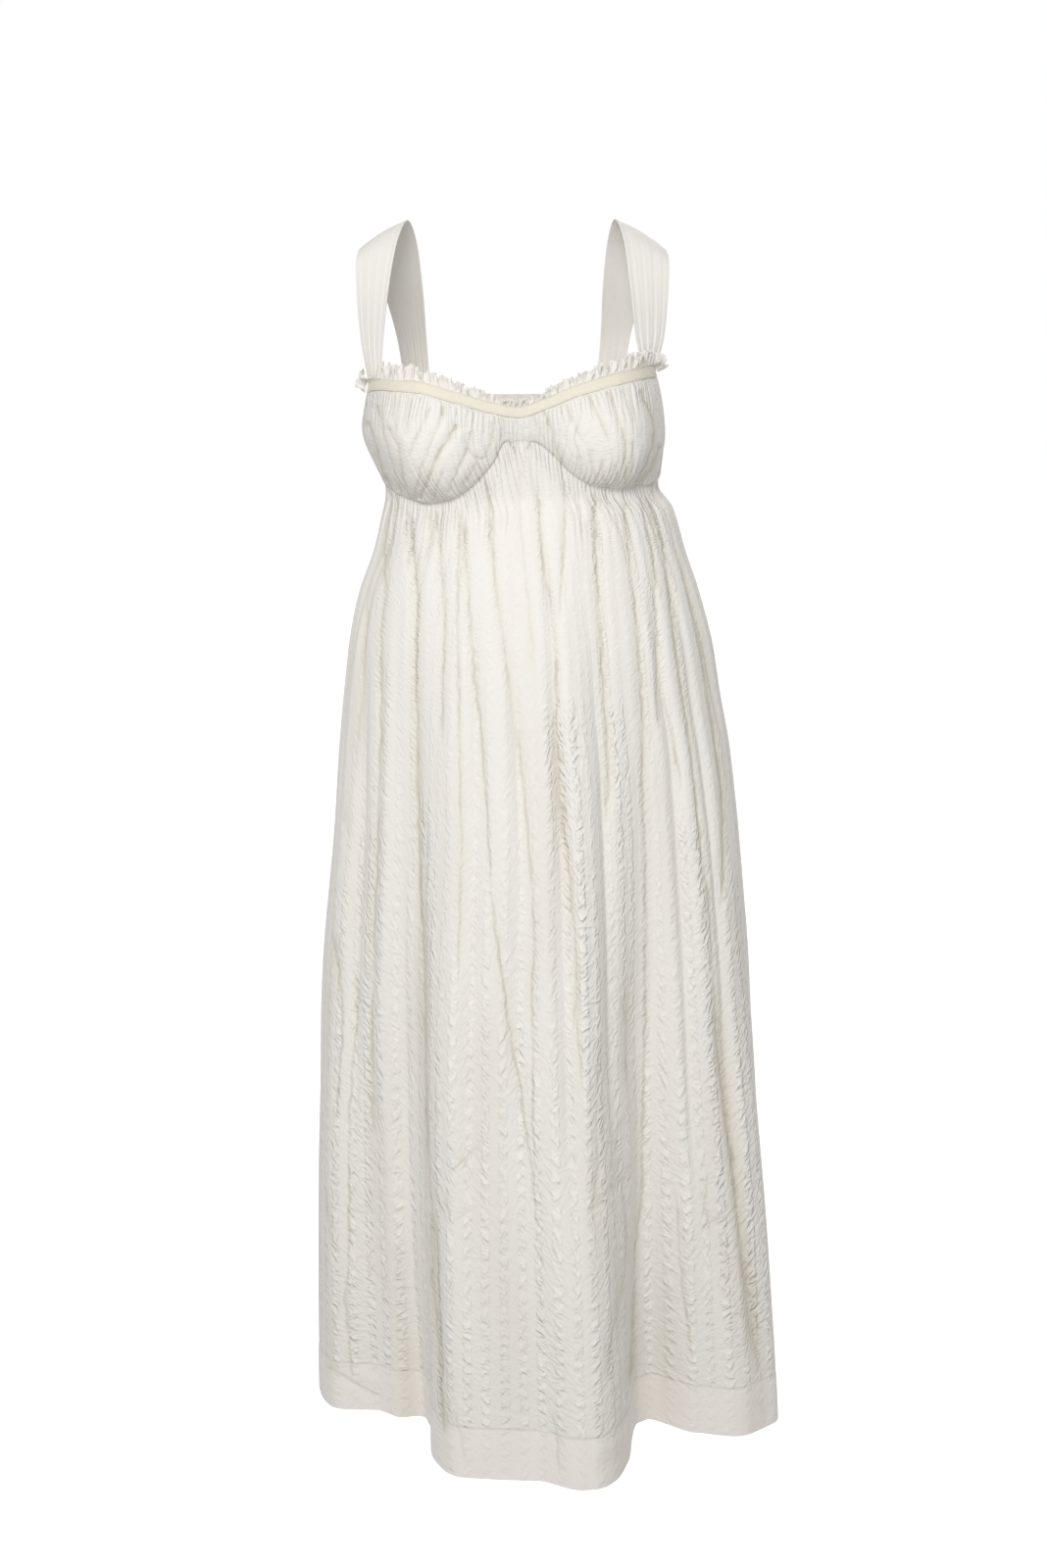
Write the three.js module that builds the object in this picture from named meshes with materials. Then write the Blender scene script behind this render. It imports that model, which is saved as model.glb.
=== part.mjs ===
import * as THREE from "three";

// A sleeveless midi dress with an empire line, held in its worn form.
// Millimetres, +Z up, +X to the image's right, the front faces -Y.
// The origin lies midway between the undersides of the two strap crowns.

// Driving sizes
const WALL = 2;
const STRAP_WALL = 1.5;
const TAPE_WALL = 1;
const RUFFLE_WALL = 1.4;
const HEM_Z = -1193;
const HEM_TURN_UP = 50;
const HEM_LAYER = 0.8;
const HALF_SEAM_GAP = 0.15;
const TAPE_WIDTH = 10;
const TAPE_CLEARANCE = 0.3;
const RUFFLE_HEIGHT = 12;
const RUFFLE_WAVES = 66;
const RUFFLE_REACH = 74;
const RUFFLE_CLEARANCE = 0.45;
const RUFFLE_BUNCH = { lift: 6.5, start: 56, full: 69 };

// Angles go round the body in degrees from the front: -90 and 90 are the side seams.
const SIDE = 90;
const CENTRE_FRONT = 2.4;
const TURN = 360;
const COLUMNS_PER_CUP = 30;
const BACK_COLUMNS = 52;
const COLUMN_LEVEL = -800;

// Level rings of the body: middle of the ring in x, half its breadth, its depth to the
// front and to the back, and how round it is (1 is an ellipse, less is squarer).
const RINGS = [
  { z: -1193, middle: 31, half: 234, front: 153, back: 155, round: 0.95 },
  { z: -1062, middle: 28.5, half: 231.5, front: 154, back: 151, round: 0.95 },
  { z: -955, middle: 26.5, half: 228, front: 155, back: 147, round: 0.95 },
  { z: -850, middle: 24.6, half: 222.5, front: 155, back: 143, round: 0.95 },
  { z: -705, middle: 22.8, half: 214, front: 155, back: 137, round: 0.93 },
  { z: -593, middle: 22.9, half: 203.5, front: 154, back: 131, round: 0.9 },
  { z: -502, middle: 21, half: 194.5, front: 152, back: 125, round: 0.88 },
  { z: -443, middle: 18.3, half: 186, front: 150, back: 120, round: 0.85 },
  { z: -393, middle: 17.3, half: 179, front: 147, back: 116, round: 0.82 },
  { z: -344, middle: 15.8, half: 167, front: 141, back: 110, round: 0.8 },
  { z: -305, middle: 16, half: 153, front: 134, back: 104, round: 0.75 },
  { z: -262, middle: 14.5, half: 141, front: 124, back: 96, round: 0.7 },
  { z: -243, middle: 8.5, half: 133.5, front: 118, back: 92, round: 0.7 },
  { z: -223, middle: 5, half: 139, front: 118, back: 91, round: 0.7 },
  { z: -185, middle: 0, half: 147.5, front: 118, back: 90, round: 0.7 },
  { z: -150, middle: -0.5, half: 146, front: 115, back: 86, round: 0.7 },
  { z: -110, middle: -1, half: 141, front: 108, back: 80, round: 0.7 },
];

// Height of the seam under the bust: two curves that rise to a short flat peak in front.
const WAIST_SEAM = [
  { angle: -180, z: -236 },
  { angle: -120, z: -237 },
  { angle: -90, z: -237 },
  { angle: -75, z: -240 },
  { angle: -57, z: -248 },
  { angle: -43, z: -251 },
  { angle: -31, z: -247 },
  { angle: -20, z: -234.5 },
  { angle: -8, z: -209 },
  { angle: -2.6, z: -191 },
  { angle: 7.2, z: -191 },
  { angle: 13.7, z: -202 },
  { angle: 19.8, z: -219 },
  { angle: 30, z: -233 },
  { angle: 44, z: -237 },
  { angle: 59, z: -237 },
  { angle: 75, z: -234 },
  { angle: 90, z: -231 },
  { angle: 120, z: -234 },
  { angle: 180, z: -236 },
];

// Height of the bodice's top edge: the neck in front, a curve under each arm, the back.
const TOP_EDGE = [
  { angle: -180, z: -159 },
  { angle: -146, z: -159 },
  { angle: -133, z: -162 },
  { angle: -120, z: -175 },
  { angle: -105, z: -185 },
  { angle: -90, z: -186 },
  { angle: -80, z: -173 },
  { angle: -74, z: -155 },
  { angle: -70, z: -139.5 },
  { angle: -62, z: -136 },
  { angle: -50, z: -134.5 },
  { angle: -36, z: -135 },
  { angle: -20, z: -144.5 },
  { angle: -8, z: -154 },
  { angle: 2.4, z: -158.5 },
  { angle: 11.5, z: -151 },
  { angle: 25, z: -137 },
  { angle: 42, z: -126.5 },
  { angle: 55, z: -123.5 },
  { angle: 68.5, z: -123 },
  { angle: 72, z: -131 },
  { angle: 75, z: -146 },
  { angle: 81, z: -165 },
  { angle: 90, z: -182 },
  { angle: 105, z: -181 },
  { angle: 120, z: -172 },
  { angle: 133, z: -160 },
  { angle: 146, z: -157 },
  { angle: 180, z: -159 },
];

// Height of the hem, which hangs a little higher at the sides than in front.
const HEM_EDGE = [
  { angle: -180, z: -1190 },
  { angle: -110, z: -1188 },
  { angle: -90, z: -1184 },
  { angle: -55, z: -1183 },
  { angle: -38, z: -1189 },
  { angle: -25, z: -1193 },
  { angle: 20, z: -1193 },
  { angle: 37, z: -1184 },
  { angle: 52, z: -1190 },
  { angle: 70, z: -1190 },
  { angle: 90, z: -1182 },
  { angle: 120, z: -1188 },
  { angle: 180, z: -1190 },
];

// Long folds of the skirt, ridges out and troughs in. Each lies at one angle at the top and
// another at the hem, half its flat crest is half degrees wide and its flanks edge degrees.
// It starts, is full and ends at the given shares of the drop; past 1 it runs out of the hem.
const SKIRT_FOLDS = [
  { top: -6, hem: -4, half: 21, edge: 15, depth: 60, start: 0, full: 1, end: 2 },
  { top: 8, hem: 11, half: 8, edge: 9, depth: 22, start: 0.1, full: 1, end: 2 },
  { top: -40, hem: -36, half: 6, edge: 9, depth: -28, start: 0.1, full: 1, end: 2 },
  { top: -52, hem: -48, half: 13, edge: 16, depth: -34, start: 0.1, full: 1, end: 2 },
  { top: 33, hem: 30, half: 6, edge: 9, depth: -52, start: 0.15, full: 1, end: 2 },
  { top: 60, hem: 60, half: 13, edge: 16, depth: 27, start: 0.15, full: 1, end: 2 },
  { top: -17, hem: -15, half: 1.5, edge: 7, depth: -9, start: 0.03, full: 0.3, end: 0.85 },
  { top: -5, hem: -4, half: 1, edge: 6, depth: -8, start: 0.04, full: 0.25, end: 0.8 },
  { top: 6, hem: 7, half: 1.5, edge: 6, depth: -12, start: 0.02, full: 0.35, end: 0.8 },
  { top: 19, hem: 17, half: 1, edge: 6, depth: -9, start: 0.05, full: 0.35, end: 0.75 },
  { top: 44, hem: 42, half: 1.5, edge: 7, depth: -9, start: 0.05, full: 0.3, end: 0.8 },
  { top: 57, hem: 55, half: 1.5, edge: 7, depth: -7, start: 0.05, full: 0.3, end: 0.8 },
  { top: -62, hem: -60, half: 1.5, edge: 7, depth: -6, start: 0.05, full: 0.3, end: 0.8 },
  { top: 105, hem: 106, half: 4, edge: 11, depth: -20, start: 0.1, full: 1, end: 2 },
  { top: 127, hem: 128, half: 8, edge: 12, depth: 26, start: 0.1, full: 1, end: 2 },
  { top: 150, hem: 148, half: 4, edge: 11, depth: -24, start: 0.1, full: 1, end: 2 },
  { top: 178, hem: 176, half: 11, edge: 13, depth: 28, start: 0.1, full: 1, end: 2 },
  { top: -157, hem: -155, half: 4, edge: 11, depth: -26, start: 0.1, full: 1, end: 2 },
  { top: -132, hem: -131, half: 9, edge: 12, depth: 25, start: 0.1, full: 1, end: 2 },
  { top: -107, hem: -106, half: 4, edge: 11, depth: -19, start: 0.1, full: 1, end: 2 },
];
const FOLD_TOP = -240;
const FOLD_GROWTH = 1.2;

// Shares of the height at which the cloth has a row of points, from the seam outwards.
const SKIRT_ROWS = [0, 0.009, 0.024, 0.05, 0.09, 0.145, 0.21, 0.29, 0.38, 0.48, 0.58, 0.68, 0.78, 0.88];
const CUP_ROWS = [0, 0.08, 0.2, 0.35, 0.52, 0.7, 0.86, 1];
const BACK_ROWS = [0, 0.15, 0.45, 0.75, 1];

// Gathers: the height of their waves and how far from a seam they rise and die out.
const SKIRT_GATHER = { height: 3.6, rise: 16, hold: 60, length: 420 };
const CUP_GATHER = { height: 2.6, rise: 9, hold: 35, length: 115 };
const BACK_GATHER = { height: 1.6, rise: 12, hold: 25, length: 70 };
const GATHER_UNEVENNESS = 0.35;
const GATHER_DRIFT = 2.4;

// The cups stand out between the seam and the neck, most at one angle on each side.
const CUP_FULLNESS = { depth: 34, angle: 36, spread: 22, bend: 0.62, turn: 0.82 * Math.PI };
const CUP_SLANT = 7;

// Middle line of a strap from its front foot over the shoulder to its back foot, on the +X
// side: half its width, how far its outer edge is turned backwards, and how far it slopes.
const STRAP_SECTIONS = [
  { x: 135, y: -52, z: -98, half: 14.5, turn: 42, slope: 0 },
  { x: 135.5, y: -46, z: -52, half: 18, turn: 28, slope: 10 },
  { x: 130.5, y: -27, z: -14, half: 22.5, turn: 12, slope: 23 },
  { x: 124, y: 0, z: 0, half: 25.5, turn: 0, slope: 30 },
  { x: 117, y: 27, z: -14, half: 24, turn: -8, slope: 23 },
  { x: 109, y: 50, z: -52, half: 20, turn: -16, slope: 11 },
  { x: 101, y: 70, z: -105, half: 15.5, turn: -24, slope: 4 },
];
const STRAP_FRONT_FOOT = { angle: 64, half: 5.2 };
const STRAP_BACK_FOOT = { angle: 139, half: 6.5 };
const STRAP_COLUMNS = 7;
const STRAP_STEPS = 15;
const STRAP_LIFT = 0.45;
const STRAP_PLEAT = 0.7;

const degrees = Math.PI / 180;

function smoothStep(low, high, value) {
  const share = Math.min(1, Math.max(0, (value - low) / (high - low)));
  return share * share * (3 - 2 * share);
}

// Slope of a smooth line at one row of a table, flat wherever the line turns back.
function slopeAt(table, key, column, row) {
  const before = table[row - 1];
  const here = table[row];
  const after = table[row + 1];
  if (!before || !after) return 0;
  const left = (here[column] - before[column]) / (here[key] - before[key]);
  const right = (after[column] - here[column]) / (after[key] - here[key]);
  return left * right > 0 ? (2 * left * right) / (left + right) : 0;
}

// Value of one column of a table at any place along its key, without overshoot.
function along(table, key, column, place) {
  const last = table.length - 2;
  const found = table.findIndex((row, index) => index <= last && place <= table[index + 1][key]);
  const row = found < 0 ? last : found;
  const span = table[row + 1][key] - table[row][key];
  const share = Math.min(1, Math.max(0, (place - table[row][key]) / span));
  const rest = 1 - share;
  const start = table[row][column] * (1 + 2 * share) + slopeAt(table, key, column, row) * span * share;
  const end = table[row + 1][column] * (3 - 2 * share) - slopeAt(table, key, column, row + 1) * span * rest;
  return start * rest * rest + end * share * share;
}

function wrap(angle) {
  return angle - TURN * Math.round(angle / TURN);
}

function seamHeight(angle) {
  return along(WAIST_SEAM, "angle", "z", wrap(angle));
}

function hemHeight(angle) {
  return along(HEM_EDGE, "angle", "z", wrap(angle));
}

function edgeHeight(angle) {
  return along(TOP_EDGE, "angle", "z", wrap(angle));
}

// A point of the plain ring at one height.
function ringPoint(angle, z) {
  const ring = (column) => along(RINGS, "z", column, z);
  const forward = Math.cos(angle * degrees);
  const depth = forward > 0 ? ring("front") : ring("back");
  const x = ring("middle") + ring("half") * Math.sin(angle * degrees);
  const y = -Math.sign(forward) * depth * Math.abs(forward) ** ring("round");
  return new THREE.Vector3(x, y, z);
}

// The level direction that points out of a line of points round the body.
function outwardOf(line, angle, z) {
  const step = 0.3;
  const ahead = line(angle + step, z).sub(line(angle - step, z));
  return new THREE.Vector3(ahead.y, -ahead.x, 0).normalize();
}

function foldDepth(angle, z) {
  const drop = Math.min(1, Math.max(0, (FOLD_TOP - z) / (FOLD_TOP - HEM_Z)));
  return SKIRT_FOLDS.reduce((sum, fold) => {
    const middle = fold.top + (fold.hem - fold.top) * drop;
    const away = Math.abs(wrap(angle - middle));
    const across = 1 - smoothStep(fold.half - fold.edge / 2, fold.half + fold.edge / 2, away);
    const grown = Math.min(1, Math.max(0, (drop - fold.start) / (fold.full - fold.start)));
    const fading = 1 - smoothStep((fold.full + fold.end) / 2, fold.end, drop);
    return sum + fold.depth * across * grown ** FOLD_GROWTH * fading;
  }, 0);
}

function foldedPoint(angle, z) {
  const out = outwardOf(ringPoint, angle, z);
  return ringPoint(angle, z).addScaledVector(out, foldDepth(angle, z));
}

function cupFullness(angle, z) {
  const height = edgeHeight(angle) - seamHeight(angle);
  const share = Math.min(1, Math.max(0, (z - seamHeight(angle)) / height));
  const away = (Math.abs(wrap(angle - CENTRE_FRONT)) - CUP_FULLNESS.angle) / CUP_FULLNESS.spread;
  const rise = Math.sin(CUP_FULLNESS.turn * share ** CUP_FULLNESS.bend);
  return CUP_FULLNESS.depth * Math.exp(-away * away) * rise;
}

// A point of the cloth, and of what lies on it, at a distance out of the body's form.
function clothPoint(angle, z, lift) {
  const out = outwardOf(foldedPoint, angle, z);
  return foldedPoint(angle, z).addScaledVector(out, cupFullness(angle, z) + lift);
}

// One place on a wall: its outer and inner point, moved a little along the ring at a seam.
function wallPlace({ angle, z, lift = 0, wall = WALL, aside = 0 }) {
  const out = outwardOf(foldedPoint, angle, z);
  const sideways = new THREE.Vector3(-out.y, out.x, 0).multiplyScalar(aside);
  return {
    outer: clothPoint(angle, z, lift).add(sideways),
    inner: clothPoint(angle, z, lift - wall).add(sideways),
  };
}

// Angles from one to another that part the cloth evenly along its length at one level.
function evenAngles(from, to, count, z) {
  const samples = 400;
  const angles = Array.from({ length: samples + 1 }, (_, index) => from + ((to - from) * index) / samples);
  const lengths = [0];
  angles.slice(1).forEach((angle, index) => {
    lengths.push(lengths[index] + foldedPoint(angle, z).distanceTo(foldedPoint(angles[index], z)));
  });
  return Array.from({ length: count + 1 }, (_, index) => {
    const wanted = (lengths[samples] * index) / count;
    const after = Math.max(1, lengths.findIndex((length) => length >= wanted - 1e-9));
    const share = (wanted - lengths[after - 1]) / (lengths[after] - lengths[after - 1]);
    return angles[after - 1] + (angles[after] - angles[after - 1]) * share;
  });
}

// A closed wall through rows of places, each with an outer and an inner point.
function wallGeometry(rows) {
  const height = rows.length;
  const width = rows[0].length;
  const points = [...rows.flat().map((place) => place.outer), ...rows.flat().map((place) => place.inner)];
  const outer = (row, column) => row * width + column;
  const inner = (row, column) => height * width + outer(row, column);
  const index = [];
  const face = (a, b, c, d) => index.push(a, b, c, a, c, d);
  for (let row = 0; row < height - 1; row += 1) {
    for (let column = 0; column < width - 1; column += 1) {
      face(outer(row, column), outer(row, column + 1), outer(row + 1, column + 1), outer(row + 1, column));
      face(inner(row, column), inner(row + 1, column), inner(row + 1, column + 1), inner(row, column + 1));
    }
    const end = width - 1;
    face(outer(row, 0), outer(row + 1, 0), inner(row + 1, 0), inner(row, 0));
    face(outer(row, end), inner(row, end), inner(row + 1, end), outer(row + 1, end));
  }
  for (let column = 0; column < width - 1; column += 1) {
    const end = height - 1;
    face(outer(0, column), inner(0, column), inner(0, column + 1), outer(0, column + 1));
    face(outer(end, column), outer(end, column + 1), inner(end, column + 1), inner(end, column));
  }
  return facingOut(points, index);
}

// The volume inside the faces, which is below zero where they point inwards.
function signedVolume(points, index) {
  let volume = 0;
  for (let corner = 0; corner < index.length; corner += 3) {
    const [a, b, c] = [0, 1, 2].map((step) => points[index[corner + step]]);
    volume += a.dot(b.clone().cross(c)) / 6;
  }
  return volume;
}

function facingOut(points, index) {
  const turned = signedVolume(points, index) < 0 ? [...index].reverse() : index;
  const geometry = new THREE.BufferGeometry().setFromPoints(points);
  geometry.setIndex(turned);
  geometry.computeVertexNormals();
  return geometry;
}

// Height of a gather wave at a distance from its seam: ridge and trough by turns.
function gatherLift(gather, column, distance) {
  const rising = smoothStep(0, gather.rise, distance);
  const dying = 1 - smoothStep(gather.hold, gather.length, distance);
  const uneven = 1 + GATHER_UNEVENNESS * Math.sin(GATHER_DRIFT * column);
  return (column % 2 ? 0.5 : -0.5) * gather.height * uneven * rising * dying;
}

// How far up or down a sloping seam moves for half the gap across it.
function seamStep(angle) {
  const step = 0.5;
  const climb = seamHeight(angle + step) - seamHeight(angle - step);
  const run = foldedPoint(angle + step, HEM_Z / 5).distanceTo(foldedPoint(angle - step, HEM_Z / 5));
  return HALF_SEAM_GAP * Math.hypot(1, climb / run);
}

function asideAt(column, columns) {
  if (column === 0) return HALF_SEAM_GAP;
  return column === columns ? -HALF_SEAM_GAP : 0;
}

// Rows of a skirt panel from the seam down to the hem, where a turned-up layer thickens it.
function skirtGeometry(angles) {
  const columns = angles.length - 1;
  const turnUp = 1 - HEM_TURN_UP / (FOLD_TOP - HEM_Z);
  const shares = [...SKIRT_ROWS, turnUp - 0.001, turnUp, 1];
  const rows = shares.map((share) =>
    angles.map((angle, column) => {
      const top = seamHeight(angle) - seamStep(angle);
      const drop = (top - hemHeight(angle)) * share;
      const edge = column === 0 || column === columns;
      const lift = edge ? 0 : gatherLift(SKIRT_GATHER, column, drop);
      const wall = share >= turnUp ? WALL + HEM_LAYER : WALL;
      return wallPlace({ angle, z: top - drop, lift, wall, aside: asideAt(column, columns) });
    }),
  );
  return wallGeometry(rows);
}

// Where a cup's column of cloth meets the neck: the gathers slant from the sides inwards.
function slanted(angle, angles) {
  const share = (angle - angles[0]) / (angles.at(-1) - angles[0]);
  const inwards = angle < CENTRE_FRONT ? 1 : -1;
  return angle + inwards * CUP_SLANT * Math.sin(Math.PI * share);
}

// Rows of a cup from the waist seam up to the tape's lower edge and on to the neck edge.
function cupRows(angles) {
  const columns = angles.length - 1;
  const place = (share, column) => {
    const angle = angles[column];
    const top = slanted(angle, angles);
    const low = seamHeight(angle) + seamStep(angle);
    const high = edgeHeight(top) - TAPE_WIDTH;
    const z = low + (high - low) * share;
    const edge = column === 0 || column === columns;
    const held = 1 - smoothStep(0.7, 1, share);
    const lift = edge ? 0 : gatherLift(CUP_GATHER, column, z - low) * held;
    return { angle: angle + (top - angle) * share, z, lift, aside: asideAt(column, columns) };
  };
  const rows = CUP_ROWS.map((share) => angles.map((_, column) => place(share, column)));
  const neck = rows.at(-1).map((spot) => ({ ...spot, z: spot.z + TAPE_WIDTH }));
  return [...rows, neck];
}

function backGeometry(angles) {
  const columns = angles.length - 1;
  const rows = BACK_ROWS.map((share) =>
    angles.map((angle, column) => {
      const low = seamHeight(angle) + seamStep(angle);
      const z = low + (edgeHeight(angle) - low) * share;
      const edge = column === 0 || column === columns;
      const lift = edge || column % 2 ? 0 : gatherLift(BACK_GATHER, column / 2, z - low);
      return wallPlace({ angle, z, lift, aside: asideAt(column, columns) });
    }),
  );
  return wallGeometry(rows);
}

// The tape lies on the cups' last two rows of points, moved out by its clearance.
function tapeGeometry(cups) {
  const [lower, upper] = [-2, -1].map((row) => cups.flatMap((rows, cup) => rows.at(row).slice(cup)));
  const inFront = (spot) => Math.abs(spot.angle) < STRAP_FRONT_FOOT.angle + STRAP_FRONT_FOOT.half;
  const lift = TAPE_CLEARANCE + TAPE_WALL;
  const rows = [lower, upper].map((row) =>
    row.filter(inFront).map((spot) => wallPlace({ ...spot, aside: 0, lift, wall: TAPE_WALL })),
  );
  return wallGeometry(rows);
}

// The frill's two ends stand out further, where it is bunched under the arms.
function bunchLift(angle) {
  return RUFFLE_BUNCH.lift * smoothStep(RUFFLE_BUNCH.start, RUFFLE_BUNCH.full, Math.abs(angle));
}

// The frill stands on the neck edge and flares outwards, so it clears the straps' feet.
function ruffleGeometry() {
  const columns = RUFFLE_WAVES * 2;
  const angles = evenAngles(-RUFFLE_REACH, RUFFLE_REACH, columns, -140);
  const shape = [
    { up: RUFFLE_CLEARANCE, lift: 1.75, wave: 0 },
    { up: RUFFLE_CLEARANCE + RUFFLE_HEIGHT, lift: 3.6, wave: 1.8 },
  ];
  const rows = shape.map(({ up, lift, wave }) =>
    angles.map((angle, column) => {
      const side = column % 2 ? 1 : -1;
      const uneven = 1 + GATHER_UNEVENNESS * Math.sin(GATHER_DRIFT * column);
      const bunch = wave ? bunchLift(angle) : 0;
      const z = edgeHeight(angle) + up;
      return wallPlace({ angle, z, lift: lift + bunch + side * wave * uneven, wall: RUFFLE_WALL });
    }),
  );
  return wallGeometry(rows);
}

// The inner point of a strap's foot, just above the bodice edge, at -1 to 1 across it.
function footPoint(foot, side, across) {
  const angle = side * (foot.angle + across * foot.half);
  return clothPoint(angle, edgeHeight(angle) + STRAP_LIFT, -STRAP_WALL);
}

function sectionPoint(section, side, across) {
  const turn = section.turn * degrees;
  const slope = section.slope * degrees;
  const reach = across * section.half;
  return new THREE.Vector3(
    side * (section.x + reach * Math.cos(turn) * Math.cos(slope)),
    section.y + reach * Math.sin(turn) * Math.cos(slope),
    section.z - reach * Math.sin(slope),
  );
}

// Each column of a strap is one smooth line over the shoulder, from foot to foot.
function strapLine(side, across) {
  const points = STRAP_SECTIONS.map((section) => sectionPoint(section, side, across));
  const front = footPoint(STRAP_FRONT_FOOT, side, across);
  const back = footPoint(STRAP_BACK_FOOT, side, -across);
  return new THREE.CatmullRomCurve3([front, ...points, back]).getSpacedPoints(STRAP_STEPS);
}

function strapGeometry(side) {
  const shares = Array.from({ length: STRAP_COLUMNS + 1 }, (_, column) => (2 * column) / STRAP_COLUMNS - 1);
  const lines = shares.map((across) => strapLine(side, across));
  const at = (column, step) => {
    const nearColumn = Math.min(STRAP_COLUMNS, Math.max(0, column));
    return lines[nearColumn][Math.min(STRAP_STEPS, Math.max(0, step))];
  };
  const rows = lines[0].map((_, step) =>
    lines.map((line, column) => {
      const across = at(column + 1, step).clone().sub(at(column - 1, step));
      const onward = at(column, step + 1).clone().sub(at(column, step - 1));
      const out = across.cross(onward).multiplyScalar(side).normalize();
      const held = Math.sin((Math.PI * step) / STRAP_STEPS) ** 0.5;
      const inside = column > 0 && column < STRAP_COLUMNS;
      const pleat = inside ? (column % 2 ? 0.5 : -0.5) * STRAP_PLEAT * held : 0;
      const inner = line[step].clone().addScaledVector(out, pleat);
      return { inner, outer: inner.clone().addScaledVector(out, STRAP_WALL) };
    }),
  );
  return wallGeometry(rows);
}

const stripedCotton = new THREE.MeshStandardMaterial({ color: 0xf1eee6, roughness: 0.9, metalness: 0 });
const plainCotton = new THREE.MeshStandardMaterial({ color: 0xf4f2ec, roughness: 0.85, metalness: 0 });
const creamTape = new THREE.MeshStandardMaterial({ color: 0xe9e4d2, roughness: 0.8, metalness: 0 });

const dress = new THREE.Group();

function addPiece(name, geometry, material) {
  const piece = new THREE.Mesh(geometry, material);
  piece.name = name;
  dress.add(piece);
}

function bodice() {
  const left = cupRows(leftAngles);
  const right = cupRows(rightAngles);
  const wallOf = (rows) => wallGeometry(rows.map((row) => row.map(wallPlace)));
  addPiece("cup_left", wallOf(left), plainCotton);
  addPiece("cup_right", wallOf(right), plainCotton);
  addPiece("back_bodice", backGeometry(backAngles), plainCotton);
  addPiece("neck_tape", tapeGeometry([left, right]), creamTape);
  addPiece("neck_ruffle", ruffleGeometry(), plainCotton);
}

function skirt() {
  addPiece("skirt_front", skirtGeometry([...leftAngles, ...rightAngles.slice(1)]), stripedCotton);
  addPiece("skirt_back", skirtGeometry(backAngles), stripedCotton);
}

function straps() {
  addPiece("strap_left", strapGeometry(-1), plainCotton);
  addPiece("strap_right", strapGeometry(1), plainCotton);
}

const leftAngles = evenAngles(-SIDE, CENTRE_FRONT, COLUMNS_PER_CUP, COLUMN_LEVEL);
const rightAngles = evenAngles(CENTRE_FRONT, SIDE, COLUMNS_PER_CUP, COLUMN_LEVEL);
const backAngles = evenAngles(SIDE, TURN - SIDE, BACK_COLUMNS, COLUMN_LEVEL);

bodice();
skirt();
straps();

export default dress;
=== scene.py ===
"""A sleeveless midi dress of white cotton in its worn form, with an empire line.

The garment is modelled the way it is cut: two gathered cups and a back make the bodice, two
long panels of puckered stripe cotton make the skirt, and two wide straps carry it. A cream tape
and a narrow gathered frill finish the neck. The tables of sizes are in millimetres, as on a
cutting sheet, and each mesh is made in metres.
"""

import logging
import math
from collections.abc import Callable
from dataclasses import dataclass
from enum import Enum

import bpy
import numpy as np
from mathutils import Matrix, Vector


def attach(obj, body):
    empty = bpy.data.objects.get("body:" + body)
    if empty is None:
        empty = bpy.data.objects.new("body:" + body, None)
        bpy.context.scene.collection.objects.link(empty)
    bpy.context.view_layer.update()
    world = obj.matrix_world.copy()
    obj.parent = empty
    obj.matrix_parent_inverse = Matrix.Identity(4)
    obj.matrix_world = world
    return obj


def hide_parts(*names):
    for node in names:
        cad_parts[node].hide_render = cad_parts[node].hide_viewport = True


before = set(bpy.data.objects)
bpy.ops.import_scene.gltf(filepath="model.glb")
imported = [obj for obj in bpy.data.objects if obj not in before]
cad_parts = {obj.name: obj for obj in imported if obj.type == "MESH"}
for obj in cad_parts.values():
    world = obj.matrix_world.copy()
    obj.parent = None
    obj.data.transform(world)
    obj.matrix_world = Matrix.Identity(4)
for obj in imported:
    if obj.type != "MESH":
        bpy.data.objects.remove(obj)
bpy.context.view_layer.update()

LOG = logging.getLogger("midi_dress")
Array = np.ndarray
Point = tuple[float, float]
Wave = tuple[float, float, float]
MM = 0.001
TURN = 360.0
SIDE = 90.0

# The profile of every crease and gather, as shares of its width.
FOLD_SHARPNESS = 1.3
FOLD_SHOULDER = 0.22
FOLD_SHOULDER_AT = 2.3

# How evenly the columns of a panel are parted, and at which height in millimetres.
PANEL_STEPS = 400
COLUMN_LEVEL = -800.0


class SmoothTable:
    """Rows of sizes along a key, read between the rows by a smooth line without overshoot."""

    def __init__(self, columns: str, rows: tuple[tuple[float, ...], ...]) -> None:
        """Works out the slope of every column at every row.

        Args:
            columns: The names of the columns, of which the first is the key.
            rows: The sizes, in rows of rising key.
        """
        self.names = columns.split()
        self.values = np.array(rows, float)
        rises = np.diff(self.values, axis=0) / np.diff(self.values[:, :1], axis=0)
        before, after = rises[:-1], rises[1:]
        same_way = before * after > 0
        total = np.where(same_way, before + after, 1.0)
        self.slopes = np.zeros_like(self.values)
        self.slopes[1:-1] = np.where(same_way, 2 * before * after / total, 0.0)

    def at(self, column: str, place: Array) -> Array:
        """Reads one column.

        Args:
            column: The name of the column.
            place: Places along the key.

        Returns:
            The column's value at each place.
        """
        key = self.values[:, 0]
        which = self.names.index(column)
        row = np.clip(np.searchsorted(key, place, side="left") - 1, 0, len(key) - 2)
        span = key[row + 1] - key[row]
        share = np.clip((place - key[row]) / span, 0.0, 1.0)
        rest = 1 - share
        low, high = self.values[row, which], self.values[row + 1, which]
        start = low * (1 + 2 * share) + self.slopes[row, which] * span * share
        end = high * (3 - 2 * share) - self.slopes[row + 1, which] * span * rest
        return start * rest**2 + end * share**2


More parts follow.
